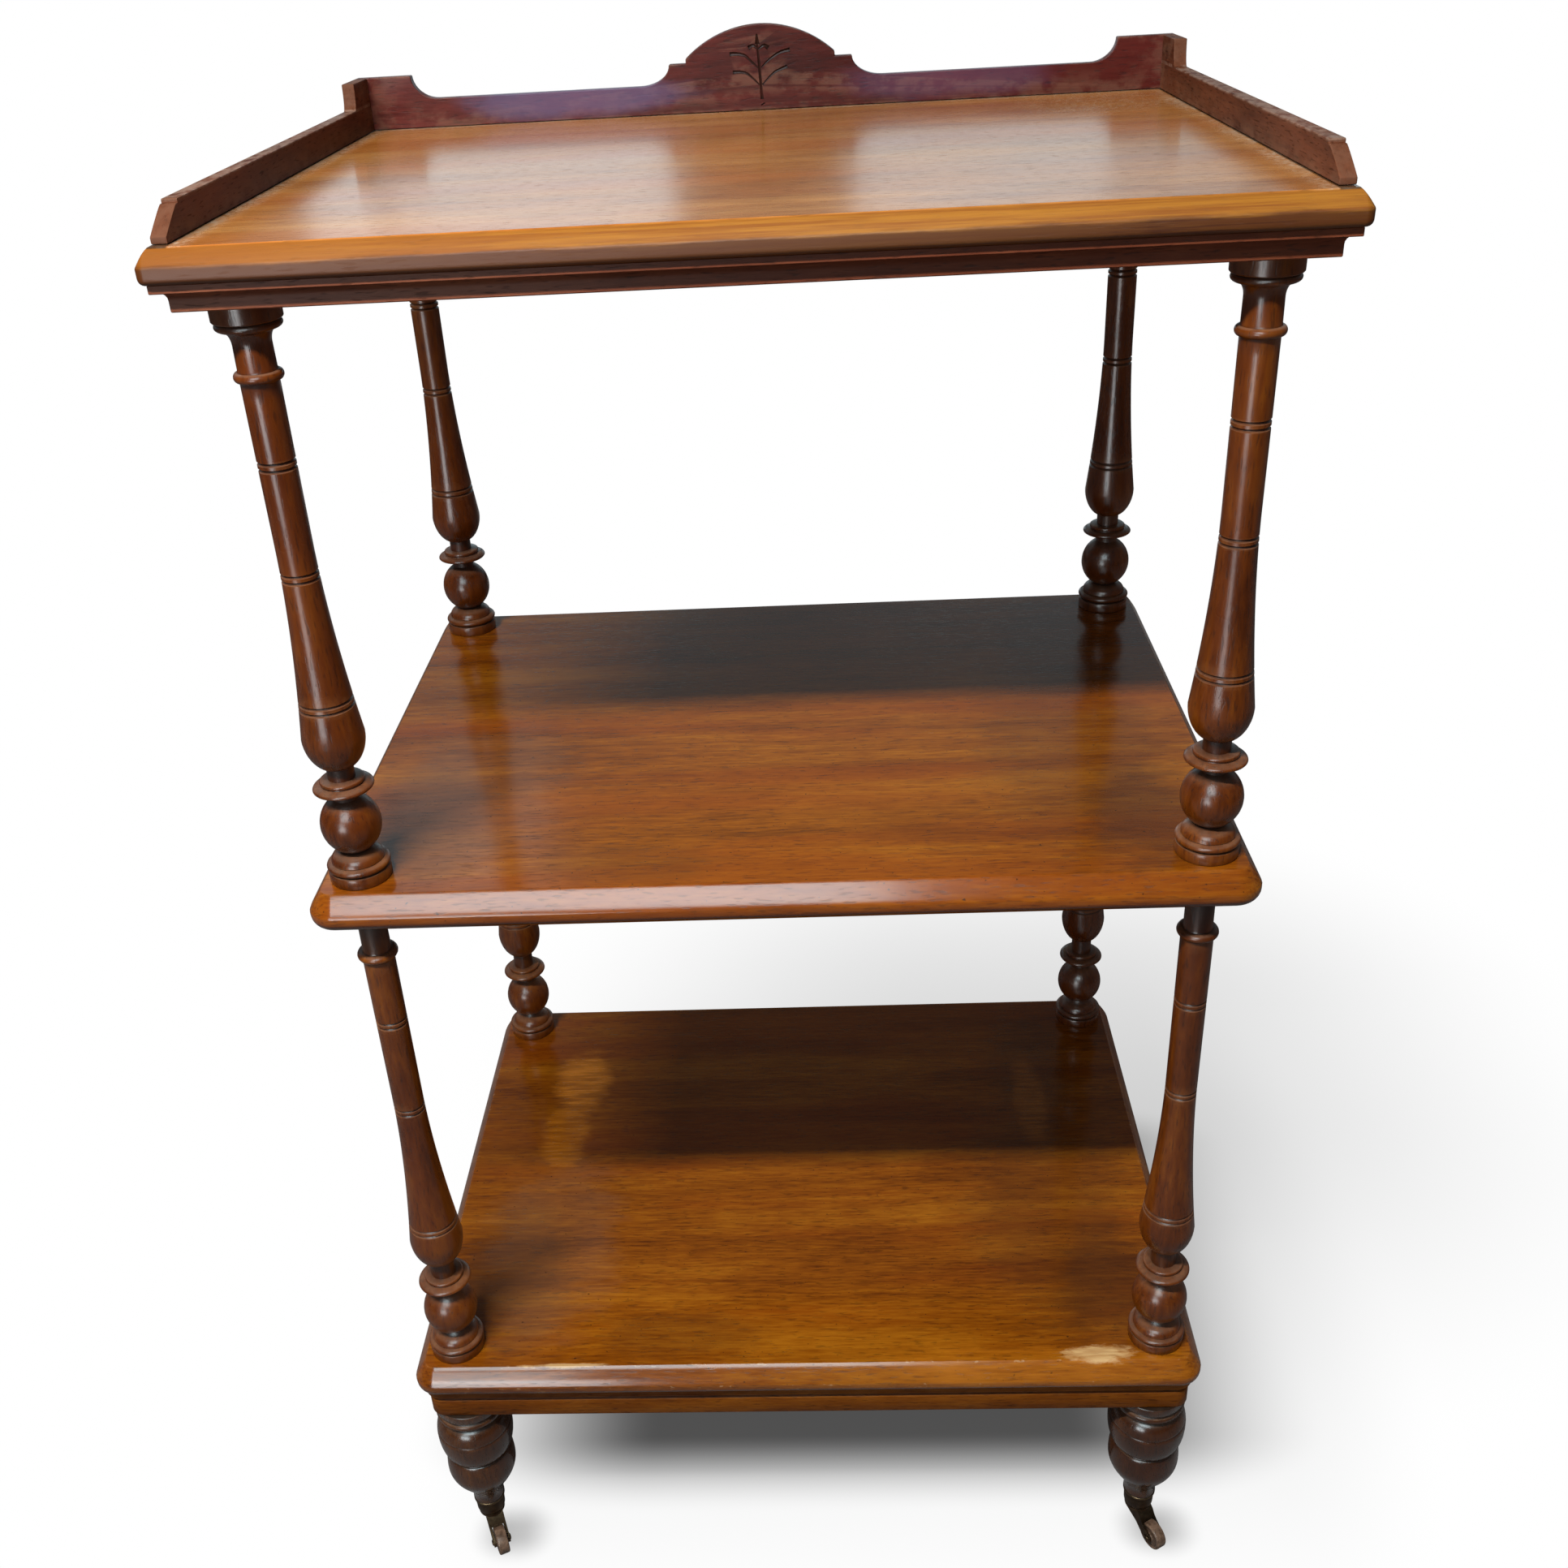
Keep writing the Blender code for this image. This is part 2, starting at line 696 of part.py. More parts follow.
def cornice_section():
    """Inset and height: upper fillet, a step in, a cove, then a flat fascia."""
    top, bottom = CORNICE_BOTTOM + CORNICE_HEIGHT, CORNICE_BOTTOM
    fillet_end = top - CORNICE["fillet"]
    face = CORNICE["step"] + CORNICE["cove_run"]
    depth = CORNICE_OVERHANG + STRIP_REACH_INSIDE
    points = [(0.0, top), (0.0, fillet_end)]
    points += cove((CORNICE["step"], fillet_end), (face, fillet_end - CORNICE["cove_height"]))
    return points + [(face, bottom), (depth, bottom), (depth, top)]


def frieze_section():
    """Inset and height: upper fillet, shallow cove, then a flat fascia eased below."""
    top, bottom = FRIEZE_BOTTOM + FRIEZE_HEIGHT, FRIEZE_BOTTOM
    fillet_end = top - FRIEZE["fillet"]
    cove_end = fillet_end - FRIEZE["cove_height"]
    depth = FRIEZE_OVERHANG + STRIP_REACH_INSIDE
    recess, ease = FRIEZE["recess"], FRIEZE["foot_ease"]
    return [
        (0.0, top),
        (0.0, fillet_end),
        (FRIEZE["quirk"], fillet_end - FRIEZE["cove_height"] / 2),
        (recess, cove_end),
        (recess, bottom + ease),
        (recess + ease, bottom),
        (depth, bottom),
        (depth, top),
    ]


def place_on_side(side, along, out, height):
    if side == "front":
        return (along, -out, height)
    if side == "rear":
        return (-along, out, height)
    if side == "right":
        return (out, along, height)
    return (-out, -along, height)


def corner_shares(corner_radius):
    """Shares of the half corner turned at each station, the mitre first."""
    if corner_radius <= SMALLEST_CORNER:
        return [1.0]
    return [1 - i / STRIP_CORNER_STEPS for i in range(STRIP_CORNER_STEPS + 1)]


def moulded_strip(name, section, side, overhang, corner_radius, material):
    """Sweep a section along one side, from the middle of one corner to the next."""
    lengthwise = side in ("front", "rear")
    half_length = (HALF_X if lengthwise else HALF_Y) + overhang
    half_reach = (HALF_Y if lengthwise else HALF_X) + overhang
    mitre_gap = SEAT_GAP / math.sqrt(2)
    shares = corner_shares(corner_radius)
    bm = bmesh.new()
    stations = []
    for end, share in [(-1, share) for share in shares] + [(1, share) for share in reversed(shares)]:
        turn = math.pi / 4 * share
        loop = []
        for inset, height in section:
            radius = max(corner_radius - inset, SMALLEST_CORNER)
            along = end * (half_length - inset - radius + radius * math.sin(turn) - mitre_gap)
            out = half_reach - inset - radius + radius * math.cos(turn)
            loop.append(bm.verts.new(place_on_side(side, along, out, height)))
        stations.append(loop)
    for first, second in zip(stations, stations[1:]):
        for i in range(len(section)):
            j = (i + 1) % len(section)
            bm.faces.new((first[i], first[j], second[j], second[i]))
    bm.faces.new(stations[0])
    bm.faces.new(stations[-1])
    return add_object(name, mesh_from_bmesh(name, bm), material, EDGE_ANGLE)


# Gallery: a shaped back with ears and a crest, and two low sides

GALLERY = {
    "thickness": 0.0100,
    "overhang": 0.0355,
    "rail": 0.0220,
    "ear": 0.0400,
    "ear_width": 0.0460,
    "ear_sweep": 0.0210,
    "crest_rise": 0.0376,
    "crest_half": 0.1000,
    "crest_sweep": 0.0250,
    "arch_half": 0.0610,
    "arch_foot": 0.0412,
    "arch_top": 0.0642,
    "edge": 0.0008,
}

GALLERY_SIDE = {
    "rail": 0.0205,
    "ear_length": 0.0440,
    "ear_drop": 0.0070,
    "front_gap": 0.0140,
    "front_shoulder": 0.0280,
    "front_notch": 0.0024,
    "front_foot": 0.0040,
}

ARCH_STEPS = 6


def ellipse_arc(centre, run, rise, start, end, steps):
    """Points on an upright ellipse between two angles in degrees."""
    points = []
    for i in range(steps + 1):
        turn = math.radians(start + (end - start) * i / steps)
        points.append((centre[0] + run * math.cos(turn), centre[1] + rise * math.sin(turn)))
    return points


def back_half_outline():
    """The right half of the back, from its foot up over the ear to the crest's top."""
    g = GALLERY
    length = HALF_X + g["overhang"]
    ear_end = length - g["ear_width"]
    points = [(length, 0.0), (length, g["ear"])]
    sweep_centre = (ear_end - g["ear_sweep"], g["ear"])
    points += ellipse_arc(sweep_centre, g["ear_sweep"], g["ear"] - g["rail"], 0, -90, CURVE_STEPS)
    crest_centre = (g["crest_half"], g["crest_rise"])
    points += ellipse_arc(crest_centre, g["crest_sweep"], g["crest_rise"] - g["rail"], -90, -180, CURVE_STEPS)
    points.append((g["arch_half"], g["crest_rise"]))
    rise = g["arch_top"] - g["arch_foot"]
    radius = (g["arch_half"] ** 2 + rise ** 2) / (2 * rise)
    reach = math.degrees(math.asin(g["arch_half"] / radius))
    centre = (0.0, g["arch_top"] - radius)
    points += ellipse_arc(centre, radius, radius, 90 - reach, 90, ARCH_STEPS)
    return points


def prism(name, outline, thickness, placing, material):
    """Extrude an upright outline through its thickness and ease its edges."""
    bm = bmesh.new()
    face = bm.faces.new([bm.verts.new((x, 0.0, z)) for x, z in outline])
    extruded = bmesh.ops.extrude_face_region(bm, geom=[face])
    moved = [part for part in extruded["geom"] if isinstance(part, bmesh.types.BMVert)]
    bmesh.ops.translate(bm, verts=moved, vec=Vector((0.0, thickness, 0.0)))
    bmesh.ops.transform(bm, matrix=placing, verts=bm.verts[:])
    obj = add_object(name, mesh_from_bmesh(name, bm), material, EDGE_ANGLE)
    ease = obj.modifiers.new("Eased edges", "BEVEL")
    ease.width = GALLERY["edge"]
    ease.segments = 1
    ease.limit_method = "ANGLE"
    ease.angle_limit = EASED_ANGLE
    return obj


def make_gallery(material):
    g, s = GALLERY, GALLERY_SIDE
    foot = BOARD_TOP + SEAT_GAP
    half = back_half_outline()
    outline = half + [(-x, z) for x, z in reversed(half[:-1])]
    back_face = HALF_Y + g["overhang"] - g["thickness"]
    prism("gallery_back", outline, g["thickness"], Matrix.Translation((0.0, back_face, foot)), material)

    rear = back_face - SEAT_GAP
    front = -(HALF_Y + BOARD_OVERHANG - s["front_gap"])
    shoulder = front + s["front_shoulder"]
    ear_front = rear - s["ear_length"]
    notch = s["front_notch"]
    outline = [(rear, 0.0), (rear, g["ear"]), (ear_front, g["ear"])]
    drop_centre = (ear_front - s["ear_drop"], g["ear"])
    outline += ellipse_arc(drop_centre, s["ear_drop"], g["ear"] - s["rail"], 0, -90, CURVE_STEPS)[1:]
    outline += [(shoulder, s["rail"]), (shoulder, s["rail"] - notch)]
    nose_centre = (shoulder - notch, s["front_foot"])
    nose_run = shoulder - notch - front
    outline += ellipse_arc(nose_centre, nose_run, s["rail"] - notch - s["front_foot"], 90, 180, CURVE_STEPS)
    outline.append((front, 0.0))
    quarter = Matrix.Rotation(math.pi / 2, 4, "Z")
    outer = HALF_X + g["overhang"]
    for label, right_face in (("left", g["thickness"] - outer), ("right", outer)):
        placing = Matrix.Translation((right_face, 0.0, foot)) @ quarter
        prism(f"gallery_{label}", outline, g["thickness"], placing, material)


def make_tiers(shelf_wood, edge_wood):
    """The three tiers with the moulded strips under the lowest and the highest."""
    shelves = {}
    for name, top in (("bottom_shelf", BOTTOM_SHELF_TOP), ("middle_shelf", MIDDLE_SHELF_TOP)):
        levels = edge_levels(SHELF_EDGE, top, SHELF_THICKNESS)
        shelves[name] = stacked_slab(name, levels, SHELF_OVERHANG, SHELF_CORNER_RADIUS, shelf_wood)
    levels = edge_levels(BOARD_EDGE, BOARD_TOP, BOARD_THICKNESS)
    board = stacked_slab("top_board", levels, BOARD_OVERHANG, BOARD_CORNER_RADIUS, shelf_wood)
    low_tool = dowel_hole_tool("low_holes", BOTTOM_SHELF_TOP + CUT_OVERRUN, FRIEZE_BOTTOM - CUT_OVERRUN)
    middle_tool = dowel_hole_tool(
        "middle_holes", MIDDLE_SHELF_TOP + CUT_OVERRUN, MIDDLE_SHELF_UNDER - CUT_OVERRUN)
    high_tool = dowel_hole_tool(
        "high_holes", BOARD_UNDER + DOWEL_DEPTH + SEAT_GAP, CORNICE_BOTTOM - CUT_OVERRUN)
    combine(shelves["bottom_shelf"], low_tool, "DIFFERENCE", "Dowel holes")
    combine(shelves["middle_shelf"], middle_tool, "DIFFERENCE", "Dowel holes")
    combine(board, high_tool, "DIFFERENCE", "Dowel sockets")
    for side in ("front", "rear", "left", "right"):
        cornice = moulded_strip(
            f"cornice_{side}", cornice_section(), side, CORNICE_OVERHANG, SMALLEST_CORNER, edge_wood)
        combine(cornice, high_tool, "DIFFERENCE", "Dowel holes")
        frieze = moulded_strip(
            f"frieze_{side}", frieze_section(), side, FRIEZE_OVERHANG, FRIEZE["corner_radius"], edge_wood)
        combine(frieze, low_tool, "DIFFERENCE", "Dowel holes")


def build():
    clear_scene()
    shelf_wood = make_material("shelf_mahogany", (0.30, 0.125, 0.040), 0.30)
    edge_wood = make_material("moulding_mahogany", (0.11, 0.036, 0.016), 0.32)
    gallery_wood = make_material("gallery_mahogany", (0.12, 0.042, 0.025), 0.35)
    turned_wood = make_material("turned_mahogany", (0.13, 0.045, 0.017), 0.25)
    metal = make_material("aged_brass", (0.16, 0.11, 0.06), 0.45, 1.0)
    wheel_finish = make_material("brown_china", (0.13, 0.075, 0.05), 0.35)
    make_tiers(shelf_wood, edge_wood)
    make_gallery(gallery_wood)
    through_pad = PAD_HEIGHT + 2 * SEAT_GAP + DOWEL_DEPTH
    through_cornice = CORNICE_HEIGHT + 2 * SEAT_GAP + DOWEL_DEPTH
    make_posts("lower_post", LOWER_POST, LOWER_POST_BASE, through_pad, turned_wood)
    make_posts("upper_post", UPPER_POST, UPPER_POST_BASE, through_cornice, turned_wood)
    make_pads(shelf_wood)
    make_feet(turned_wood)
    make_casters(metal, wheel_finish)


build()
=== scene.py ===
import json
import math

import bmesh
import bpy
from mathutils import Euler, Matrix, Vector


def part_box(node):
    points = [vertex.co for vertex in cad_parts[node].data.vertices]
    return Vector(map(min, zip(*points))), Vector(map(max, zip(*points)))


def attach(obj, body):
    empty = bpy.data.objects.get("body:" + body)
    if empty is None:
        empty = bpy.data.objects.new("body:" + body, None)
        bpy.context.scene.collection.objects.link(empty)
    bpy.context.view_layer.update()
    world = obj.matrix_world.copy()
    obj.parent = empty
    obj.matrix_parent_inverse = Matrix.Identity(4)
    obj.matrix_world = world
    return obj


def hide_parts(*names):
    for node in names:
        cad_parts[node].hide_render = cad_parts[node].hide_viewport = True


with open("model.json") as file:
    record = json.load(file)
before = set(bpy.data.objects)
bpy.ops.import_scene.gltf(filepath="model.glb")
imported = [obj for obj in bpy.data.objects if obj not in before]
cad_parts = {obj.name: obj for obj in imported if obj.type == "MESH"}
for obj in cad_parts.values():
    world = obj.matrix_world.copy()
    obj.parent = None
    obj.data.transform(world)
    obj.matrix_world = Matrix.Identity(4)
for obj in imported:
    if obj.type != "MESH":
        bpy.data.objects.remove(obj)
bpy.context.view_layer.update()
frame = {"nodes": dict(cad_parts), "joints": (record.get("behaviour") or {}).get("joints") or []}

print("frame loaded:", len(frame["nodes"]), "solids")

corners = ("front_left", "front_right", "rear_left", "rear_right")
joinGap = 0.0003  # metres between pieces that are joined


def middle(node):
    low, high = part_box(node)
    return (low + high) / 2


def newObject(name, data):
    made = bpy.data.objects.new(name, data)
    bpy.context.scene.collection.objects.link(made)
    return made


# Shader sockets as values: sums and products of wires add their own Math nodes

class Wire:
    def __init__(self, paint, socket):
        self.paint = paint
        self.socket = socket

    def calc(self, operation, first, second, clamp=False):
        settings = {"operation": operation, "use_clamp": clamp}
        return self.paint.node("ShaderNodeMath", settings, {0: first, 1: second})

    def __add__(self, other):
        return self.calc("ADD", self, other)

    def __radd__(self, other):
        return self.calc("ADD", other, self)

    def __sub__(self, other):
        return self.calc("SUBTRACT", self, other)

    def __rsub__(self, other):
        return self.calc("SUBTRACT", other, self)

    def __mul__(self, other):
        return self.calc("MULTIPLY", self, other)

    def __rmul__(self, other):
        return self.calc("MULTIPLY", other, self)

    def __truediv__(self, other):
        return self.calc("DIVIDE", self, other)

    def __pow__(self, other):
        return self.calc("POWER", self, other)

    def clamped(self):
        return self.calc("MULTIPLY", self, 1.0, clamp=True)

    def atMost(self, other):
        return self.calc("MINIMUM", self, other)

    def atLeast(self, other):
        return self.calc("MAXIMUM", self, other)

    def size(self):
        return self.calc("ABSOLUTE", self, 0.0)


class Paint:
    # a node tree being filled, for a material or for the world
    def __init__(self, owner):
        owner.use_nodes = True
        self.tree = owner.node_tree
        self.tree.nodes.clear()
        self.coat = None  # a wire where the polish is not the same all over

    def plug(self, socket, value):
        if isinstance(value, Wire):
            self.tree.links.new(value.socket, socket)
        elif socket.type == "RGBA" and len(value) == 3:
            socket.default_value = (*value, 1.0)
        else:
            socket.default_value = value

    def node(self, kind, settings=None, values=None, output=0):
        made = self.tree.nodes.new(kind)
        for key, value in (settings or {}).items():
            if key == "stops":
                self.fillRamp(made.color_ramp, value)
            else:
                setattr(made, key, value)
        for key, value in (values or {}).items():
            self.plug(made.inputs[key], value)
        return Wire(self, made.outputs[output]) if made.outputs else None

    def fillRamp(self, ramp, stops):
        while len(ramp.elements) < len(stops):
            ramp.elements.new(1.0)
        for element, (position, colour) in zip(ramp.elements, stops):
            element.position = position
            element.color = (*colour, 1.0)

    def ramp(self, factor, stops):
        return self.node("ShaderNodeValToRGB", {"stops": stops}, {"Fac": factor})

    def blend(self, factor, first, second, mode="MIX"):
        settings = {"data_type": "RGBA", "blend_type": mode}
        return self.node("ShaderNodeMix", settings, {0: factor, 6: first, 7: second}, 2)

    def stretch(self, vector, amounts):
        return self.node("ShaderNodeVectorMath", {"operation": "MULTIPLY"}, {0: vector, 1: amounts})

    def shift(self, vector, other):
        return self.node("ShaderNodeVectorMath", {"operation": "ADD"}, {0: vector, 1: other})

    def noise(self, place, cycles, detail, roughness, output=0):
        # cycles per metre along each axis
        place = self.stretch(place, cycles)
        values = {"Vector": place, "Scale": 1.0, "Detail": detail, "Roughness": roughness}
        return self.node("ShaderNodeTexNoise", {}, values, output)

    def flecks(self, place, cycles, detail, roughness, low, high):
        # noise cut to flecks: 0 where it is below low, 1 where it is above high
        return self.step(self.noise(place, cycles, detail, roughness), low, high)

    def split(self, vector):
        return [self.node("ShaderNodeSeparateXYZ", {}, {0: vector}, i) for i in range(3)]

    def facing(self):
        # the three parts of the surface's normal
        return self.split(self.node("ShaderNodeNewGeometry", output=1))

    def attribute(self, name, output):
        return self.node("ShaderNodeAttribute", {"attribute_name": name}, output=output)

    def step(self, value, low, high):
        # 0 below low, 1 above high, smooth between
        settings = {"interpolation_type": "SMOOTHSTEP"}
        return self.node("ShaderNodeMapRange", settings, {0: value, 1: low, 2: high, 3: 0.0, 4: 1.0})

    def mixed(self, factor, first, second):
        return self.node("ShaderNodeMixShader", {}, {0: factor, 1: first, 2: second})

    def polish(self, values):
        shader = self.node("ShaderNodeBsdfPrincipled", {}, values)
        self.node("ShaderNodeOutputMaterial", {}, {"Surface": shader})


# Wood: one family of mahogany, each kind of piece with its own colours and polish

baseWood = {
    "worn": (0.48, 0.23, 0.07),
    "grime": (0.0075, 0.0028, 0.0012),
    "bands": (1.8, 28.0, 28.0),  # cycles per metre along and across the grain
    "fibres": (38.0, 420.0, 420.0),
    "pores": (100.0, 700.0, 700.0),
    "mottle": (8.0, 14.0, 14.0),
    "skin": (210.0, 260.0, 260.0),
    "blushes": (1.6, 14.0, 14.0),
    "smudges": (5.0, 11.0, 11.0),
    "patches": (60.0, 90.0, 90.0),
    "wander": (4.0, 4.0, 4.0),
    "bend": (0.012, 0.012, 0.012),  # how far the grain strays, in metres
    "bandShare": 0.4,
    "fibreShare": 0.26,
    "poreDark": 0.42,
    "blush": 0.45,
    "smudge": 0.12,
    "wearAmount": 0.45,
    "grimeAmount": 0.95,
    "ledgeDustAndSheen": 0.0,
    "ledgeDustAndSheenColour": (0.33, 0.23, 0.155),
    "glossSpread": 0.16,
    "glossLimit": 0.06,
    "specular": 0.4,
    "coatGloss": 0.12,
    "bump": 0.2,
    "bumpDepth": 0.0004,
}

shelfWood = {
    **baseWood,
    "dark": (0.11, 0.025, 0.0016),
    "mid": (0.22, 0.059, 0.0024),
    "light": (0.325, 0.108, 0.005),
    "ruddy": (0.225, 0.042, 0.0018),
    "coat": 0.5,
    "bandShare": 0.48,
    "fibreShare": 0.32,
    "smudge": 0.07,
    "poreDark": 0.36,
    "wearAmount": 0.3,
    "gloss": 0.16,
    "glossSpread": 0.1,
    "bump": 0.1,
}

topWood = {
    **shelfWood,
    "dark": (0.26, 0.086, 0.016),
    "mid": (0.39, 0.155, 0.033),
    "light": (0.5, 0.222, 0.056),
    "ruddy": (0.4, 0.112, 0.016),
    "smudge": 0.15,
    "gloss": 0.2,
    "glossSpread": 0.16,
    "coat": 0.35,
}

turnedWood = {
    **baseWood,
    "dark": (0.046, 0.009, 0.001),
    "mid": (0.108, 0.024, 0.0019),
    "light": (0.185, 0.051, 0.0038),
    "worn": (0.26, 0.1, 0.03),
    "grime": (0.005, 0.002, 0.0012),
    "ruddy": (0.085, 0.015, 0.0016),
    "bands": (7.0, 26.0, 26.0),
    "fibres": (40.0, 260.0, 260.0),
    "wearAmount": 0.25,
    "ledgeDustAndSheen": 0.2,
    "gloss": 0.28,
    "glossSpread": 0.14,
    "coat": 0.35,
    "coatGloss": 0.2,
}

mouldingWood = {
    **baseWood,
    "dark": (0.07, 0.016, 0.0014),
    "mid": (0.145, 0.039, 0.0028),
    "light": (0.225, 0.07, 0.0052),
    "ruddy": (0.112, 0.0215, 0.0016),
    "worn": (0.3, 0.13, 0.04),
    "wearAmount": 0.3,
    "gloss": 0.32,
    "specular": 0.1,
    "coat": 0.0,
}

corniceWood = {
    **mouldingWood,
    "dark": (0.075, 0.019, 0.008),
    "mid": (0.132, 0.035, 0.015),
    "light": (0.2, 0.06, 0.027),
    "ruddy": (0.13, 0.026, 0.0115),
    "wearAmount": 0.02,
    "grimeAmount": 0.4,
    "gloss": 0.42,
}

galleryWood = {
    **baseWood,
    "dark": (0.028, 0.004, 0.003),
    "mid": (0.07, 0.0115, 0.0085),
    "light": (0.12, 0.023, 0.017),
    "ruddy": (0.1, 0.012, 0.009),
    "worn": (0.33, 0.19, 0.12),
    "bands": (6.0, 30.0, 30.0),
    "gloss": 0.32,
    "specular": 0.22,
    "coat": 0.05,
}

gallerySideWood = {
    **galleryWood,
    "dark": (0.042, 0.011, 0.0048),
    "mid": (0.088, 0.026, 0.011),
    "light": (0.145, 0.045, 0.02),
    "ruddy": (0.104, 0.024, 0.0095),
    "specular": 0.06,
    "coat": 0.0,
    "gloss": 0.42,
}

footWood = {
    **turnedWood,
    "dark": (0.02, 0.006, 0.0014),
    "mid": (0.05, 0.0145, 0.0026),
    "light": (0.1, 0.033, 0.0056),
    "ruddy": (0.048, 0.011, 0.0018),
    "gloss": 0.22,
    "coat": 0.8,
}

carvedWood = {
    **galleryWood,
    "dark": (0.012, 0.004, 0.003),
    "mid": (0.03, 0.009, 0.006),
    "light": (0.06, 0.02, 0.012),
}


def paintWood(name, look, marks=()):
    material = bpy.data.materials.new(name)
    paint = Paint(material)
    grain = paint.attribute("grain", 1)
    wear = paint.attribute("wear", 2)
    grime = paint.attribute("grime", 2)
    wander = paint.noise(grain, look["wander"], 2.0, 0.5, 1)
    bent = paint.shift(grain, paint.stretch(wander, look["bend"]))
    bands = paint.noise(bent, look["bands"], 4.0, 0.62)
    fibres = paint.noise(bent, look["fibres"], 3.0, 0.6)
    pores = paint.flecks(grain, look["pores"], 1.0, 0.4, 0.58, 0.72)
    mottle = paint.noise(grain, look["mottle"], 3.0, 0.55)
    skin = paint.noise(grain, look["skin"], 2.0, 0.5)
    mottleShare = 1.0 - look["bandShare"] - look["fibreShare"]
    tone = bands * look["bandShare"] + fibres * look["fibreShare"] + mottle * mottleShare
    colour = paint.ramp(tone, [(0.38, look["dark"]), (0.5, look["mid"]), (0.62, look["light"])])
    blush = paint.flecks(bent, look["blushes"], 3.0, 0.6, 0.46, 0.64)
    colour = paint.blend(blush * look["blush"], colour, look["ruddy"])
    smudge = paint.flecks(grain, look["smudges"], 2.0, 0.5, 0.48, 0.66) * look["smudge"]
    shade = (1.0 - pores * look["poreDark"]) * (1.0 - smudge)
    shadeColour = paint.node("ShaderNodeCombineColor", {}, {0: shade, 1: shade, 2: shade})
    colour = paint.blend(1.0, colour, shadeColour, "MULTIPLY")
    patchy = paint.flecks(grain, look["patches"], 3.0, 0.65, 0.38, 0.62)
    worn = (wear * patchy * look["wearAmount"]).clamped()
    colour = paint.blend(worn, colour, look["worn"])
    dirty = (grime * look["grimeAmount"]).clamped()
    colour = paint.blend(dirty, colour, look["grime"])
    if look["ledgeDustAndSheen"] > 0.0:  # pale dust and a painted highlight where a turned piece faces upwards
        ledgeDustSheen = paint.step(paint.facing()[2], 0.5, 0.9) * (patchy * 0.4 + 0.6) * look["ledgeDustAndSheen"]
        colour = paint.blend(ledgeDustSheen * (1.0 - dirty * 0.7), colour, look["ledgeDustAndSheenColour"])
    rough = look["gloss"] + (mottle - 0.5) * look["glossSpread"] + worn * 0.18 + dirty * 0.25 + pores * 0.1
    height = fibres * 0.35 - pores * 0.8 + skin * 0.55
    place = paint.node("ShaderNodeTexCoord", output=3)
    for mark in marks:
        colour, rough, height = mark(paint, place, colour, rough, height)
    bump = {"Strength": look["bump"], "Distance": look["bumpDepth"], "Height": height}
    paint.polish({
        "Base Color": colour,
        "Roughness": rough.atLeast(look["glossLimit"]),
        "Specular IOR Level": look["specular"],
        "Coat Weight": look["coat"] if paint.coat is None else paint.coat,
        "Coat Roughness": look["coatGloss"],
        "Normal": paint.node("ShaderNodeBump", {}, bump),
    })
    return material


# Marks on single pieces: a patch is (centre, reach, raggedness, cycles per metre), in metres on its piece

def patch(paint, place, centre, reach, ragged, cycles):
    x, y = paint.split(place)[:2]
    across = (x - centre[0]) / reach[0]
    along = (y - centre[1]) / reach[1]
    edge = paint.noise(place, (cycles, cycles * 3.0, cycles), 4.0, 0.65) - 0.5
    far = (across * across + along * along) ** 0.5 + edge * ragged
    return 1.0 - paint.step(far, 0.45, 1.0)


shelfMarks = {
    # old dirt round the front posts as (centre, reach, strength)
    "grimy": (((-0.268, -0.15), (0.07, 0.12), 0.36), ((0.272, -0.165), (0.06, 0.09), 0.5),
              ((-0.11, -0.215), (0.09, 0.035), 0.3), ((0.24, 0.13), (0.06, 0.11), 0.35),
              ((0.23, -0.06), (0.095, 0.2), 0.34)),
    "grimeColour": (0.05, 0.015, 0.0035),
    # a painted pale haze at the left front, standing for a reflection, as a patch
    "paintedSheen": ((-0.235, -0.11), (0.08, 0.15), 1.1, 16.0),
    "paintedSheenColour": (0.18, 0.135, 0.095),
    "underFrom": 0.0185,  # how far below the top the shade under the nose starts and is full
    "underFull": 0.0225,
    "underColour": (0.06, 0.01, 0.0006),
    "speckColour": (0.02, 0.008, 0.003),
}


# old dirt round the posts and dark specks, with painted shade under each nose and a painted haze at the left
# front
def shelfGrimeShadeAndSheen(paint, place, colour, rough, height):
    for centre, reach, strength in shelfMarks["grimy"]:
        dirty = patch(paint, place, centre, reach, 0.9, 22.0) * strength
        colour = paint.blend(dirty, colour, shelfMarks["grimeColour"])
        rough = rough + dirty * 0.12
    # painted reflection: a pale haze over the left front
    colour = paint.blend(patch(paint, place, *shelfMarks["paintedSheen"]) * 0.14, colour, shelfMarks["paintedSheenColour"])
    z = paint.split(place)[2]
    # painted shade under each shelf's nose
    for node in ("middle_shelf", "bottom_shelf"):
        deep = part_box(node)[1].z - z
        under = paint.step(deep, shelfMarks["underFrom"], shelfMarks["underFull"])
        under = under * (1.0 - paint.step(deep, 0.05, 0.06)) * 0.9
        colour = paint.blend(under, colour, shelfMarks["underColour"])
    specks = paint.flecks(place, (330.0, 420.0, 420.0), 1.0, 0.4, 0.74, 0.78) * 0.8
    return paint.blend(specks, colour, shelfMarks["speckColour"]), rough, height


bottomMarks = {
    # worn polish as (centre, reach, strength)
    "wornPlaces": (((-0.232, 0.125), (0.036, 0.06), 0.9), ((-0.24, 0.045), (0.03, 0.06), 0.55),
                   ((0.232, 0.085), (0.02, 0.085), 0.3), ((0.19, -0.256), (0.15, 0.034), 0.3)),
    "wornColour": (0.6, 0.2, 0.01),
    "chip": ((0.248, -0.2385), (0.034, 0.01), 1.3, 70.0),
    "scratch": ((-0.205, -0.244), (0.045, 0.0022), 1.6, 60.0),
    "chipColour": (0.6, 0.38, 0.16),
    "nickColour": (0.72, 0.52, 0.28),
}


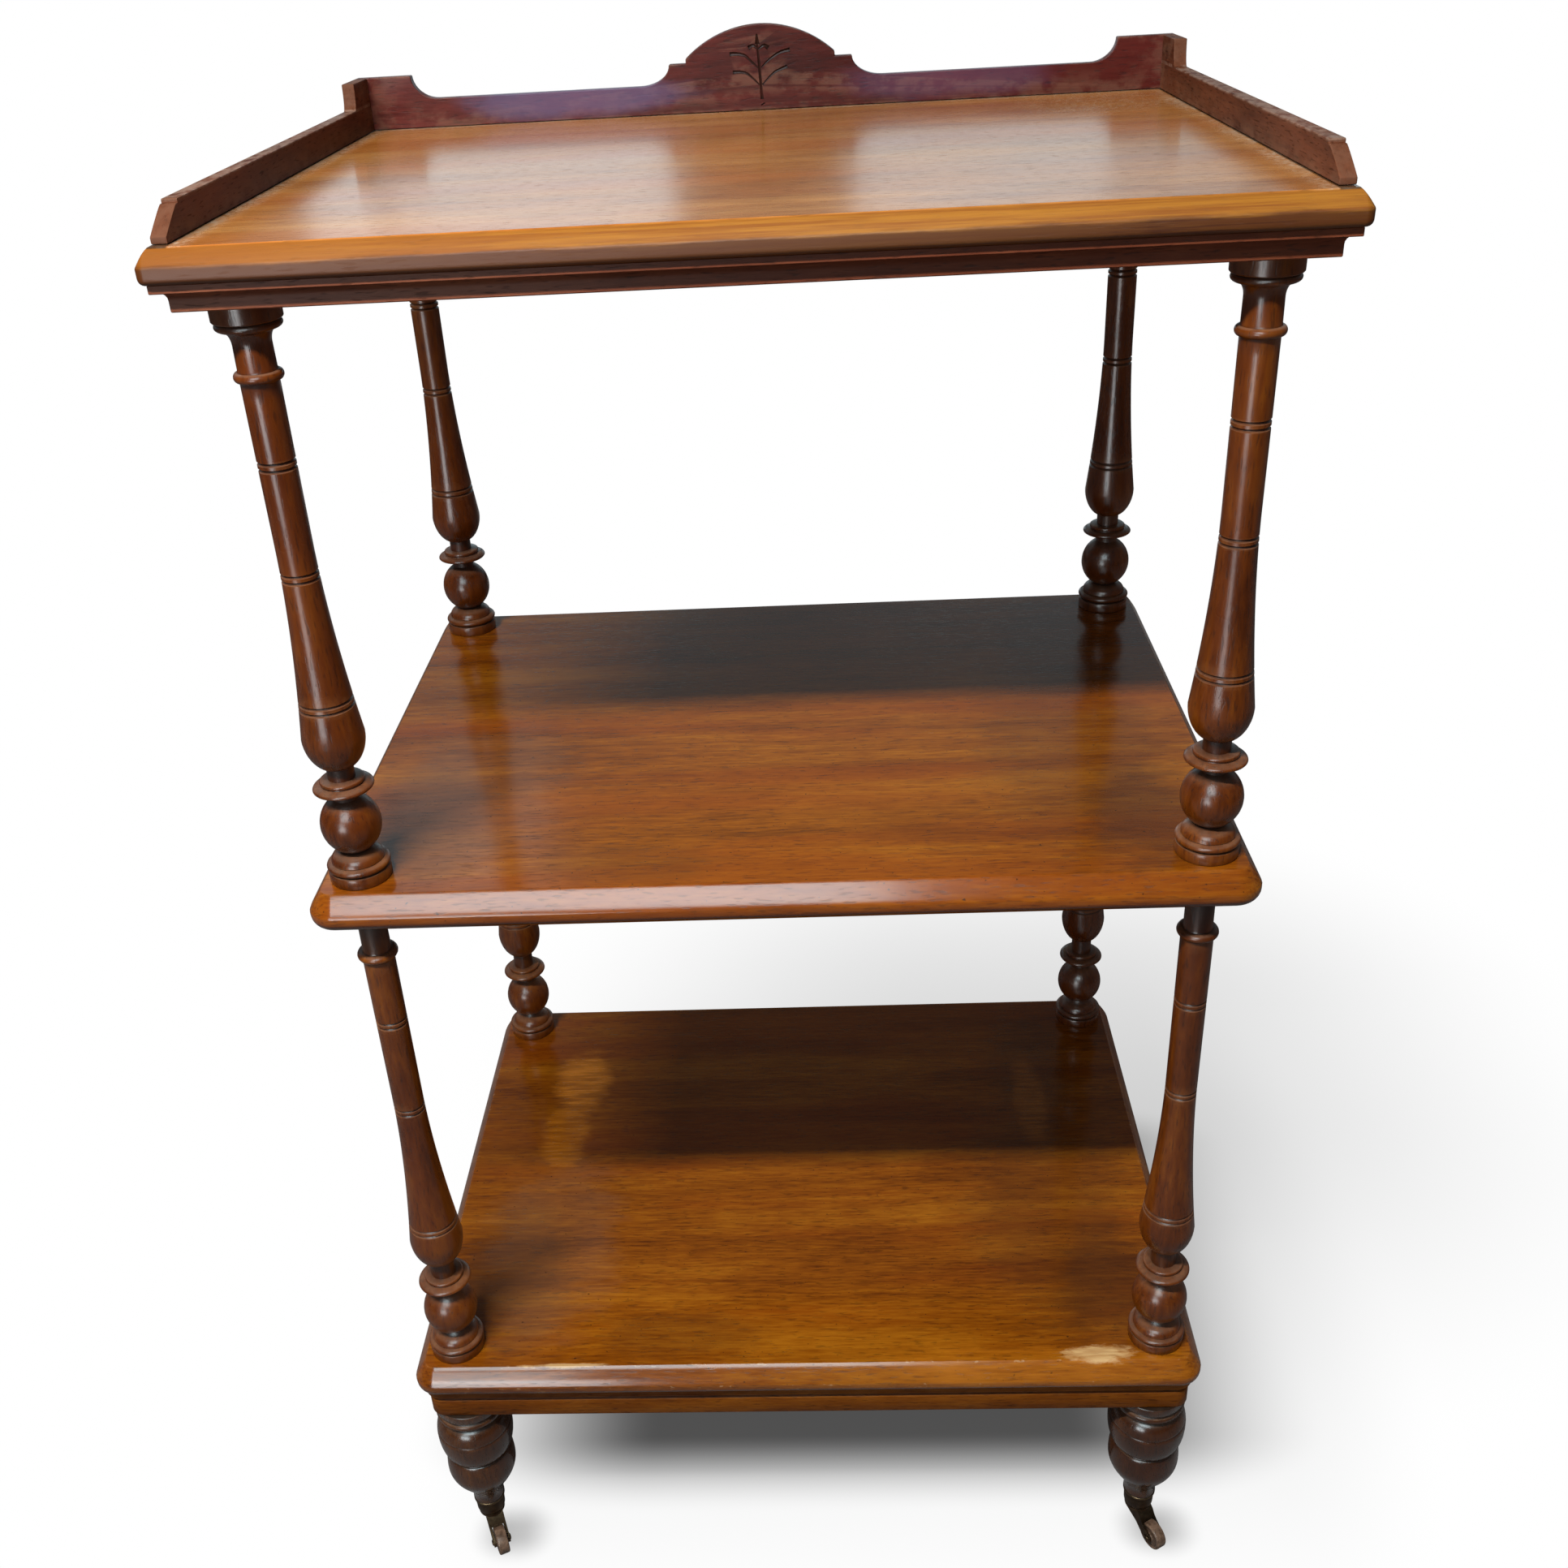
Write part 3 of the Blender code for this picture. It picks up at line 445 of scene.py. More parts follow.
def bottomShelfMarks(paint, place, colour, rough, height):
    threads = paint.flecks(place, (26.0, 300.0, 300.0), 3.0, 0.6, 0.34, 0.66)
    for centre, reach, strength in bottomMarks["wornPlaces"]:
        worn = patch(paint, place, centre, reach, 1.0, 26.0) * (threads * 0.7 + 0.3) * strength
        colour = paint.blend(worn, colour, bottomMarks["wornColour"])
        rough = rough + worn * 0.15
    chip = patch(paint, place, *bottomMarks["chip"])
    scratch = patch(paint, place, *bottomMarks["scratch"])
    bare = (chip * (threads * 0.5 + 0.6) + scratch * 0.7).clamped()
    colour = paint.blend(bare, colour, bottomMarks["chipColour"])
    spots = paint.flecks(place, (190.0, 300.0, 300.0), 1.0, 0.5, 0.66, 0.72)
    nicks = (paint.attribute("wear", 2) * spots * 1.3).clamped()
    return paint.blend(nicks, colour, bottomMarks["nickColour"]), rough + bare * 0.45, height - bare * 1.5


boardMarks = {
    "insideX": 0.3255,  # where the gallery's inner faces stand
    "insideY": 0.2445,
    "seamReach": 0.0016,
    "dustReach": 0.017,
    "dustColour": (0.44, 0.35, 0.25),
    "corner": ((0.262, 0.178), (0.075, 0.085), 1.2, 14.0),
    # the bevel's two colours make its grain; they are darker than the top, partly the wood's own tone and
    # partly painted shade against the lamp falling steeply on it
    "bevelColour": (0.275, 0.11, 0.01),
    "bevelDark": (0.175, 0.054, 0.005),
    "bevelPaintedShade": (-0.34, -0.02),  # painted shade: the bevel darkens towards its left end, where more lamp light falls, between these two places
    "stainFrom": 0.0085,
    "stainFull": 0.0115,
    "stainColour": (0.06, 0.014, 0.0022),
    "scuff": ((0.25, -0.262), (0.06, 0.02), 1.2, 60.0),
    "scuffColour": (0.01, 0.004, 0.002),
}


def topBoardMarks(paint, place, colour, rough, height):
    # dust lies where the gallery meets the board, and the nosing is scuffed near its right end; the bevel
    # carries painted shade, most towards its left end
    x, y, z = paint.split(place)
    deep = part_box("top_board")[1].z - z
    onTop = 1.0 - paint.step(deep, 0.0005, 0.001)
    toGallery = (boardMarks["insideX"] - x.size()).atMost(boardMarks["insideY"] - y)
    near = 1.0 - paint.step(toGallery, 0.0, boardMarks["dustReach"])
    crumbs = paint.flecks(place, (260.0, 260.0, 260.0), 3.0, 0.7, 0.42, 0.66)
    heavy = paint.flecks(place, (14.0, 14.0, 14.0), 2.0, 0.5, 0.35, 0.6)
    grit = paint.flecks(place, (420.0, 420.0, 420.0), 1.0, 0.5, 0.66, 0.72)
    dust = near * (crumbs * 0.65 + 0.2) * (heavy * 0.6 + 0.4)
    dust = dust + patch(paint, place, *boardMarks["corner"]) * (crumbs * 0.25 + grit * 0.5)
    dust = (dust * onTop).clamped()
    colour = paint.blend(dust, colour, boardMarks["dustColour"])
    threads = paint.flecks(place, (9.0, 420.0, 420.0), 4.0, 0.65, 0.36, 0.64)
    bevel = paint.blend(threads, boardMarks["bevelDark"], boardMarks["bevelColour"])
    # painted shade, deepest at the bevel's left end
    dull = (1.0 - paint.step(x, *boardMarks["bevelPaintedShade"])) * 0.9
    bevel = paint.blend(dull, bevel, boardMarks["bevelDark"])
    # the bevel's tone with its painted shade, laid over the bevel, nose and underside
    colour = paint.blend(paint.step(deep, 0.0002, 0.001) * 0.85, colour, bevel)
    streak = paint.flecks(place, (14.0, 14.0, 500.0), 3.0, 0.65, 0.46, 0.6)
    scuff = patch(paint, place, *boardMarks["scuff"]) * paint.step(deep, 0.009, 0.012) * streak
    colour = paint.blend(scuff.clamped(), colour, boardMarks["scuffColour"])
    ragged = (paint.noise(place, (22.0, 22.0, 260.0), 4.0, 0.65) - 0.5) * 0.006
    stain = paint.step(deep + ragged, boardMarks["stainFrom"], boardMarks["stainFull"]) * 0.85
    colour = paint.blend(stain, colour, boardMarks["stainColour"])
    seam = (1.0 - paint.step(toGallery, 0.0, boardMarks["seamReach"])) * onTop * 0.8
    colour = paint.blend(seam.clamped(), colour, boardMarks["scuffColour"])
    paint.coat = onTop * topWood["coat"]
    return colour, rough + dust * 0.5 + (1.0 - onTop) * 0.2, height + dust * 0.8


gallery = {
    "rail": 0.022,
    "ear": 0.04,
    "earWidth": 0.046,
    "earSweep": 0.021,
    "crestRise": 0.0376,
    "crestHalf": 0.1,
    "crestSweep": 0.025,
    "archHalf": 0.061,
    "archFoot": 0.0412,
    "archTop": 0.0642,
    "sideRail": 0.0205,
    "sideEar": 0.044,
    "sideDrop": 0.007,
    "frontShoulder": 0.028,
    "frontNotch": 0.0024,
    "frontFoot": 0.004,
    "noseRound": 0.1,
    "ease": 0.0009,
    # painted bluish sheen on the back, standing for a reflection, as (centre, reach, strength)
    "paintedSheen": (((-0.15, 1.2), (0.12, 0.02), 0.55), ((0.15, 1.2), (0.11, 0.02), 0.24)),
    "paintedSheenColour": (0.11, 0.085, 0.17),
    "endColour": (0.12, 0.05, 0.028),
    "edgeColour": (0.3, 0.21, 0.16),
}


def galleryMarks(paint, place, colour, rough, height):
    # a painted bluish sheen on the back, standing for a reflection; bare end grain and a rubbed top edge on
    # the sides
    x, y, z = paint.split(place)
    upright = paint.node("ShaderNodeCombineXYZ", {}, {0: x, 1: z, 2: y})
    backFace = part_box("gallery_back")[0].y
    onBack = paint.step(y, backFace - 0.002, backFace - 0.001)
    # painted reflection: patches of bluish sheen on the back's face
    for centre, reach, strength in gallery["paintedSheen"]:
        paintedSheen = patch(paint, upright, centre, reach, 0.8, 12.0) * strength
        colour = paint.blend(paintedSheen * onBack, colour, gallery["paintedSheenColour"])
    rubbed = paint.flecks(place, (160.0, 90.0, 160.0), 3.0, 0.6, 0.36, 0.6)
    bareEnd = paint.step(0.0 - paint.facing()[1], 0.2, 0.45) * (1.0 - onBack) * (rubbed * 0.5 + 0.4)
    colour = paint.blend(bareEnd, colour, gallery["endColour"])
    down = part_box("gallery_left")[0].z + gallery["sideRail"] - z
    topEdge = (1.0 - paint.step(down.size(), 0.0006, 0.0016)) * (1.0 - onBack) * rubbed * 0.45
    return paint.blend(topEdge, colour, gallery["edgeColour"]), rough, height


brassLook = {
    "dull": (0.062, 0.035, 0.019),
    "warm": (0.115, 0.066, 0.036),
    "bright": (0.34, 0.215, 0.115),
    "grime": (0.022, 0.013, 0.008),
    "gloss": 0.42,
}

wheelLook = {
    "dull": (0.055, 0.03, 0.018),
    "warm": (0.165, 0.098, 0.062),
    "bright": (0.42, 0.3, 0.21),
    "grime": (0.018, 0.011, 0.007),
    "gloss": 0.38,
}


def paintCaster(name, look, metallic):
    material = bpy.data.materials.new(name)
    paint = Paint(material)
    grain = paint.attribute("grain", 1)
    cloud = paint.noise(grain, (170.0, 170.0, 170.0), 4.0, 0.65)
    specks = paint.noise(grain, (900.0, 900.0, 900.0), 2.0, 0.6)
    colour = paint.ramp(cloud, [(0.36, look["dull"]), (0.62, look["warm"])])
    worn = (paint.attribute("wear", 2) * (cloud * 1.6 - 0.1)).clamped()
    colour = paint.blend(worn, colour, look["bright"])
    dirty = (paint.attribute("grime", 2) * 1.1 + paint.step(specks, 0.6, 0.72) * 0.2).clamped()
    bump = {"Strength": 0.18, "Distance": 0.0002, "Height": specks * 0.5 + cloud}
    paint.polish({
        "Base Color": paint.blend(dirty, colour, look["grime"]),
        "Metallic": metallic,
        "Roughness": look["gloss"] + (cloud - 0.5) * 0.3 + dirty * 0.3 - worn * 0.1,
        "Normal": paint.node("ShaderNodeBump", {}, bump),
    })
    return material


finishes = {
    "topBoard": paintWood("topBoardPolish", topWood, [topBoardMarks]),
    "middleShelf": paintWood("middleShelfPolish", shelfWood, [shelfGrimeShadeAndSheen]),
    "bottomShelf": paintWood("bottomShelfPolish", shelfWood, [shelfGrimeShadeAndSheen, bottomShelfMarks]),
    "turned": paintWood("turnedPolish", turnedWood),
    "footTurned": paintWood("footPolish", footWood),
    "frieze": paintWood("friezePolish", mouldingWood),
    "cornice": paintWood("cornicePolish", corniceWood),
    "gallery": paintWood("galleryPolish", galleryWood, [galleryMarks]),
    "gallerySide": paintWood("gallerySidePolish", gallerySideWood, [galleryMarks]),
    "carved": paintWood("carvedHollows", carvedWood),
    "brass": paintCaster("agedBrass", brassLook, 1.0),
    "wheel": paintCaster("wornWheel", wheelLook, 0.0),
}
print("finishes painted:", len(finishes))


# Every piece carries three values of its own: where it lies in its grain, and its worn and dirty places

ageing = {
    "grainStep": (0.37, 0.71, 0.53),  # metres from one piece's grain to the next one's
    "wearFrom": 0.06,  # how sharp an edge is where wear begins, and a hollow where dirt does
    "grimeFrom": 0.03,
    "hollowShare": 0.5,
    "pits": ((0.0025, 0.0013), (0.01, 0.012)),  # how far along to look, and how deep is dirty, in metres
}


def pitDirt(outline):
    # how dirty each height of a turned piece is: narrow grooves fill up fast, wide necks only slowly
    pits = {}
    for reach, fill in ageing["pits"]:
        for radius, height in outline:
            above = max(other for other, level in outline if 0 <= level - height < reach)
            below = max(other for other, level in outline if 0 <= height - level < reach)
            dirt = 1.0 - math.exp((radius - min(above, below)) / fill)
            key = round(height, 5)
            pits[key] = max(dirt, pits.get(key, 0.0))
    return pits


def markSurface(mesh, grainAxes, seed, sharpest, pits=None, foot=0.0):
    order = ["xyz".index(axis) for axis in grainAxes]
    bm = bmesh.new()
    bm.from_mesh(mesh)
    bm.normal_update()
    grain = []
    bulges = []
    for vert in bm.verts:
        grain += [vert.co[axis] + seed * ageing["grainStep"][i] for i, axis in enumerate(order)]
        total = 0.0
        for edge in vert.link_edges:
            away = vert.co - edge.other_vert(vert).co
            total += vert.normal.dot(away.normalized()) if away.length > 0 else 0.0
        bulges.append(total / max(len(vert.link_edges), 1))
    bm.free()
    mesh.attributes.new("grain", "FLOAT_VECTOR", "POINT").data.foreach_set("vector", grain)
    wear = [min(max((bulge - ageing["wearFrom"]) / sharpest, 0.0), 1.0) for bulge in bulges]
    grime = [min(max((-bulge - ageing["grimeFrom"]) / sharpest, 0.0), 1.0) for bulge in bulges]
    if pits:
        deep = [pits.get(round(vert.co.z - foot, 5), 0.0) for vert in mesh.vertices]
        grime = [max(dirt * ageing["hollowShare"], pit) for dirt, pit in zip(grime, deep)]
    mesh.attributes.new("wear", "FLOAT", "POINT").data.foreach_set("value", wear)
    mesh.attributes.new("grime", "FLOAT", "POINT").data.foreach_set("value", grime)


def addPiece(name, mesh, finish, node, body, grainAxes="xyz", seed=0.0, sharpest=0.22, soften=35,
             pits=None, foot=0.0):
    mesh.name = name
    if not mesh.materials:
        mesh.materials.append(finishes[finish])
    markSurface(mesh, grainAxes, seed, sharpest, pits, foot)
    mesh.shade_smooth()
    mesh.set_sharp_from_angle(angle=math.radians(soften))
    piece = newObject(name, mesh)
    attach(piece, body)
    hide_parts(node)
    return piece


def evenShading(piece):
    piece.modifiers.new("Even shading", "WEIGHTED_NORMAL").keep_sharp = True


def meshOf(bm, name):
    bmesh.ops.recalc_face_normals(bm, faces=bm.faces[:])
    mesh = bpy.data.meshes.new(name)
    bm.to_mesh(mesh)
    bm.free()
    return mesh


def ringedMesh(name, rings):
    # walls between rings of points, and a lid at each end
    bm = bmesh.new()
    loops = [[bm.verts.new(point) for point in ring] for ring in rings]
    for first, second in zip(loops, loops[1:]):
        for i in range(len(first)):
            j = (i + 1) % len(first)
            bm.faces.new((first[i], first[j], second[j], second[i]))
    bm.faces.new(loops[0])
    bm.faces.new(loops[-1])
    return meshOf(bm, name)


def thickOutline(points, push):
    # a flat outline pushed out to a board
    bm = bmesh.new()
    face = bm.faces.new([bm.verts.new(point) for point in points])
    grown = bmesh.ops.extrude_face_region(bm, geom=[face])["geom"]
    verts = [part for part in grown if isinstance(part, bmesh.types.BMVert)]
    bmesh.ops.translate(bm, verts=verts, vec=Vector(push))
    bmesh.ops.recalc_face_normals(bm, faces=bm.faces[:])
    return bm


# Outlines of turned pieces, as (radius, height) from the top down

def arc(radiusMid, heightMid, reach, rise, start, end, steps):
    turns = [math.radians(start + (end - start) * i / steps) for i in range(steps + 1)]
    return [(radiusMid + reach * math.cos(turn), heightMid + rise * math.sin(turn)) for turn in turns]


def bead(neck, full, top, height, steps):
    return arc(neck, top - height / 2, full - neck, height / 2, 90, -90, steps)


def cove(start, end, steps):
    points = []
    for i in range(steps + 1):
        turn = math.pi / 2 * i / steps
        points.append((start[0] + (end[0] - start[0]) * math.sin(turn),
                       end[1] + (start[1] - end[1]) * math.cos(turn)))
    return points


def turnedMesh(outline, sides, place=(0.0, 0.0, 0.0), closed=False):
    bm = bmesh.new()
    verts = [bm.verts.new((radius, 0.0, height)) for radius, height in outline]
    loops = list(zip(verts, verts[1:])) + ([(verts[-1], verts[0])] if closed else [])
    edges = [bm.edges.new(loop) for loop in loops]
    bmesh.ops.spin(bm, geom=verts + edges, cent=(0, 0, 0), axis=(0, 0, 1), angle=math.tau,
                   steps=sides, use_merge=True)
    bmesh.ops.remove_doubles(bm, verts=bm.verts[:], dist=0.000005)
    bmesh.ops.translate(bm, verts=bm.verts[:], vec=Vector(place))
    return meshOf(bm, "turned")


# Posts

upperPost = {
    "height": 0.406,
    "capital": 0.0215,
    "capitalDrum": 0.0119,
    "capitalLip": 0.0205,
    "neck": 0.0119,
    "ring": 0.0153,
    "ringAt": 0.3605,
    "ringHeight": 0.0062,
    "shaft": 0.0121,
    "cuts": (0.305, 0.2307, 0.139),  # middles of the pairs of cut lines
    "flareFrom": 0.249,
    "bulb": 0.0216,
    "bulbAt": 0.1135,
    "bulbDrop": 0.0235,
    "bulbNeck": 0.0095,
    "collarTop": 0.0796,
    "collars": (0.0158, 0.0213),
    "collarHeight": 0.0076,
    "ball": 0.0214,
    "ballAt": 0.044,
    "ballHeight": 0.0416,
    "ballNeck": 0.0095,
    "baseScale": 1.0,
}

lowerPost = {
    **upperPost,
    "height": 0.45,
    "capital": None,
    "neck": 0.0103,
    "ring": 0.015,
    "ringAt": 0.4175,
    "ringHeight": 0.0072,
    "shaft": 0.0118,
    "cuts": (0.355, 0.2695, 0.148),
    "flareFrom": 0.275,
    "bulb": 0.0218,
    "bulbAt": 0.13,
    "bulbDrop": 0.026,
    "bulbNeck": 0.01,
    "collarTop": 0.087,
    "collars": (0.0162, 0.0218),
    "collarHeight": 0.0082,
    "ball": 0.0224,
    "ballAt": 0.0475,
    "ballHeight": 0.0436,
    "ballNeck": 0.01,
    "baseScale": 1.035,
}

cutShape = {"spacing": 0.0044, "halfWidth": 0.0012, "depth": 0.0013}


def shaftOutline(post, top):
    cuts = [height + side * cutShape["spacing"] for height in post["cuts"] for side in (-0.5, 0.5)]
    stops = {top - (top - post["bulbAt"]) * i / 26 for i in range(27)}
    for cut in cuts:
        stops |= {cut + share * cutShape["halfWidth"] for share in (-1.0, -0.55, 0.0, 0.55, 1.0)}
    points = []
    for height in sorted(stops, reverse=True):
        way = max((post["flareFrom"] - height) / (post["flareFrom"] - post["bulbAt"]), 0.0)
        radius = post["shaft"] + (post["bulb"] - post["shaft"]) * way ** 1.8
        for cut in cuts:
            near = 1.0 - abs(height - cut) / cutShape["halfWidth"]
            radius -= cutShape["depth"] * min(max(near, 0.0) * 1.3, 1.0)
        points.append((radius, height))
    return points


def postOutline(post):
    neck, top = post["neck"], post["height"]
    points = [(0.0, top)]
    if post["capital"]:
        wide, lip, drum = post["capital"], post["capitalLip"], top - post["capitalDrum"]
        points += [(wide - 0.0006, top), (wide, top - 0.0007), (wide, drum + 0.0007), (wide - 0.0006, drum)]
        points += [(lip - 0.0016, drum - 0.0006)]
        points += arc(lip - 0.0034, drum - 0.0029, 0.0034, 0.0026, 80, -80, 10)
        points += cove((lip - 0.0036, drum - 0.0057), (neck, drum - 0.0143), 10)
    else:
        points += [(neck, top)]
    ringTop = post["ringAt"] + post["ringHeight"] / 2
    points += [(neck + 0.0002, ringTop + 0.0012)]
    points += bead(neck + 0.0006, post["ring"], ringTop, post["ringHeight"], 10)
    points += shaftOutline(post, ringTop - post["ringHeight"] - 0.0008)
    for i in range(1, 13):
        turn = math.pi / 2 * i / 12
        points.append((post["bulbNeck"] + (post["bulb"] - post["bulbNeck"]) * math.cos(turn) ** 1.3,
                       post["bulbAt"] - post["bulbDrop"] * math.sin(turn)))
    collarTop = post["collarTop"]
    upper, lower = post["collars"]
    points += [(post["bulbNeck"], collarTop + 0.0012)]
    points += arc(upper - 0.0014, collarTop - 0.0008, 0.0014, 0.0016, 90, -60, 6)
    points += [(upper - 0.0006, collarTop - 0.0026)]
    discTop = collarTop - 0.0027
    disc = post["collarHeight"] - 0.0027
    rim = discTop - disc * 0.62
    points += arc(lower - 0.0062, rim, 0.0062, disc * 0.62, 82, 0, 8)
    points += arc(lower - 0.004, rim, 0.004, disc * 0.38, -12, -90, 6)
    points += [(post["ballNeck"], collarTop - post["collarHeight"] - 0.0005)]
    swing = math.acos(post["ballNeck"] / post["ball"])
    rise = post["ballHeight"] / 2 / math.sin(swing)
    for i in range(21):
        turn = swing * (1 - i / 10)
        points.append((post["ball"] * math.cos(turn), post["ballAt"] + rise * math.sin(turn)))
    foot = [(0.0116, 0.023), (0.0136, 0.0222), (0.0155, 0.0211), (0.017, 0.0198), (0.0181, 0.0182),
            (0.0187, 0.0166), (0.0189, 0.0154), (0.0184, 0.0149)]
    foot += arc(0.018, 0.0119, 0.0046, 0.003, 76, -82, 12)
    foot += [(0.0209, 0.0086), (0.0217, 0.0082), (0.0221, 0.0074), (0.0221, 0.0006), (0.0218, 0.0)]
    points += [(radius * post["baseScale"], height) for radius, height in foot]
    return points + [(0.0, 0.0)]


seed = 0.0
for label, post in (("upper", upperPost), ("lower", lowerPost)):
    for corner in corners:
        node = f"{label}_post_{corner}"
        seed += 1.0
        spot = middle(node)
        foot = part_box("middle_shelf" if label == "upper" else "bottom_shelf")[1].z + joinGap
        outline = postOutline(post)
        mesh = turnedMesh(outline, 48, (spot.x, spot.y, foot))
        addPiece(f"{label}Post_{corner}", mesh, "turned", node, "stand", "zxy", seed,
                 pits=pitDirt(outline), foot=foot)
print("posts turned: 8")


# Pads above the lower posts, and the feet

padShape = {"top": 0.014, "low": 0.0108, "height": 0.0066, "bore": 0.0075}
footShape = {
    "height": 0.138,
    "plate": 0.031,
    "swell": 0.0336,
    "swellAt": 0.044,
    "lineAt": 0.038,
    "lineHalf": 0.0011,
    "lineDepth": 0.0008,
    "neck": 0.0222,
    "neckAt": 0.0215,
    "groove": 0.027,
    "grooveAt": 0.068,
    "lower": 0.0307,
    "lowerAt": 0.09,
    "ankle": 0.0138,
    "tenon": 0.01,
}


def padOutline():
    wide, low, height, bore = padShape["top"], padShape["low"], padShape["height"], padShape["bore"]
    points = [(bore, height), (wide - 0.0003, height), (wide, height - 0.0004), (wide, height - 0.0016)]
    points += cove((wide - 0.0006, height - 0.0022), (low, 0.0012), 6)
    return points + [(low, 0.0), (bore, 0.0)]


def footOutline():
    plate, neck, groove, ankle = [footShape[key] for key in ("plate", "neck", "groove", "ankle")]
    swell, swellAt, neckAt, grooveAt = [footShape[key] for key in ("swell", "swellAt", "neckAt", "grooveAt")]
    lower, lowerAt, height = [footShape[key] for key in ("lower", "lowerAt", "height")]
    points = [(0.0, 0.0), (plate - 0.0004, 0.0), (plate, -0.0005), (plate, -0.0078)]
    points += [(plate - 0.0004, -0.0084), (plate - 0.0022, -0.0092), (plate - 0.003, -0.0104)]
    points += [(plate - 0.0028, -0.0116), (plate - 0.0012, -0.0126)]
    points += bead(plate - 0.0016, plate - 0.0002, -0.0128, 0.0048, 6)
    points += [(plate - 0.003, -0.0182), (neck + 0.0024, -0.019), (neck + 0.0006, -0.0202)]
    for i in range(29):
        depth = neckAt + (grooveAt - neckAt) * i / 28
        end, edge = (grooveAt, groove) if depth > swellAt else (neckAt, neck)
        side = (depth - swellAt) / (end - swellAt)
        radius = edge + (swell - edge) * math.sqrt(max(1.0 - side ** 2.1, 0.0))
        line = max(1.0 - abs(depth - footShape["lineAt"]) / footShape["lineHalf"], 0.0)
        points.append((radius - footShape["lineDepth"] * line, -depth))
    lowerTop = grooveAt + 0.0024
    points += [(groove - 0.0008, -lowerTop + 0.0012), (groove - 0.0002, -lowerTop)]
    points += cove((groove, -lowerTop), (lower, -lowerAt), 12)[1:]
    for i in range(1, 19):
        share = ((1 + math.cos(math.pi * i / 18)) / 2) ** 1.2
        depth = lowerAt + (height - lowerAt) * i / 18
        points.append((ankle + (lower - ankle) * share, -depth))
    end = -height - footShape["tenon"]
    return points + [(ankle - 0.0018, -height), (ankle - 0.003, end), (0.0, end)]


for corner in corners:
    seed += 1.0
    pad, foot = f"shelf_pad_{corner}", f"foot_{corner}"
    spot = middle(pad)
    mesh = turnedMesh(padOutline(), 40, (spot.x, spot.y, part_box(pad)[0].z), True)
    addPiece(f"shelfPad_{corner}", mesh, "turned", pad, "stand", "zxy", seed)
    spot = middle(foot)
    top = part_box("frieze_front")[0].z - joinGap
    outline = footOutline()
    mesh = turnedMesh(outline, 56, (spot.x, spot.y, top))
    addPiece(f"foot_{corner}_turned", mesh, "footTurned", foot, "stand", "zxy", seed,
             pits=pitDirt(outline), foot=top)
print("feet turned: 4")


# Shelves and top board: a ring of points for each step of the edge profile

shelfShape = {
    "corner": 0.02,
    "run": 0.01,
    "drop": 0.015,
    "swell": 0.0024,
    "nose": 0.003,
    "under": 0.01,
}
boardShape = {
    "corner": 0.006,
    "run": 0.0082,
    "drop": 0.0105,
    "swell": 0.0012,
    "nose": 0.0055,
    "under": 0.0034,
}


def ringPoints(low, high, inset, corner, height):
    steps = 8
    radius = max(corner - inset, 0.0006)
    points = []
    for quarter, (sx, sy) in enumerate(((1, -1), (1, 1), (-1, 1), (-1, -1))):
        edgeX = high.x - inset if sx > 0 else low.x + inset
        edgeY = high.y - inset if sy > 0 else low.y + inset
        centreX, centreY = edgeX - sx * radius, edgeY - sy * radius
        for i in range(steps + 1):
            turn = math.pi / 2 * (quarter - 1 + i / steps)
            points.append((centreX + radius * math.cos(turn), centreY + radius * math.sin(turn), height))
    return points


def edgeProfile(shape, top, thickness):
    # (inset, height) from the flat top over the sloped moulding and the nose to the flat underside
    run, under = shape["run"], shape["under"]
    low = top - shape["drop"]
    noseEnd = low - shape["nose"]
    rows = [(run + 0.012, top), (run + 0.003, top), (run + 0.0004, top), (run + 0.0001, top - 0.0001)]
    for i in range(1, 8):
        share = i / 8
        swell = shape["swell"] * share * (1 - share)
        rows.append((run * (1 - share) - swell * 0.83, top - shape["drop"] * share + swell * 0.55))
    rows += [(0.0004, low + 0.0007), (0.0, low - 0.0003), (0.0, noseEnd + 0.0003)]
    bottom = top - thickness
    rows += reversed(cove((under, bottom), (0.0, noseEnd), 7)[:-1])
    return rows + [(under + 0.004, bottom)]


def slabMesh(low, high, shape):
    rings = [ringPoints(low, high, inset, shape["corner"], height)
             for inset, height in edgeProfile(shape, high.z, high.z - low.z)]
    return ringedMesh("slab", rings)


for name, node, shape in (
        ("middleShelf", "middle_shelf", shelfShape),
        ("bottomShelf", "bottom_shelf", shelfShape),
        ("topBoard", "top_board", boardShape)):
    seed += 1.0
    mesh = slabMesh(*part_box(node), shape)
    piece = addPiece(name, mesh, name, node, "stand", "xyz", seed, sharpest=0.3, soften=30)
    evenShading(piece)
print("shelves and top board shaped: 3")


# Cornice and frieze: strips that meet in mitres

corniceSection = [
    (0.0003, 0.017), (0.0, 0.0167), (0.0, 0.0124), (0.0003, 0.012), (0.004, 0.0119),
    (0.0054, 0.0114), (0.0066, 0.0102), (0.0074, 0.0086), (0.0076, 0.007), (0.0076, 0.005),
    (0.0076, 0.0006), (0.008, 0.0), (0.064, 0.0), (0.064, 0.017)]
friezeSection = [
    (0.0003, 0.031), (0.0, 0.0307), (0.0, 0.0256), (0.0004, 0.025), (0.0024, 0.0247), (0.0036, 0.0238),
    (0.0043, 0.0222), (0.0044, 0.021), (0.0038, 0.0196), (0.0024, 0.0188), (0.0022, 0.0182), (0.0022, 0.01),
    (0.0022, 0.0018), (0.0026, 0.0008), (0.0036, 0.0), (0.054, 0.0), (0.054, 0.031)]


def placeOnSide(side, along, out, height):
    return {"front": (along, -out, height), "rear": (-along, out, height),
            "right": (out, along, height), "left": (-out, -along, height)}[side]


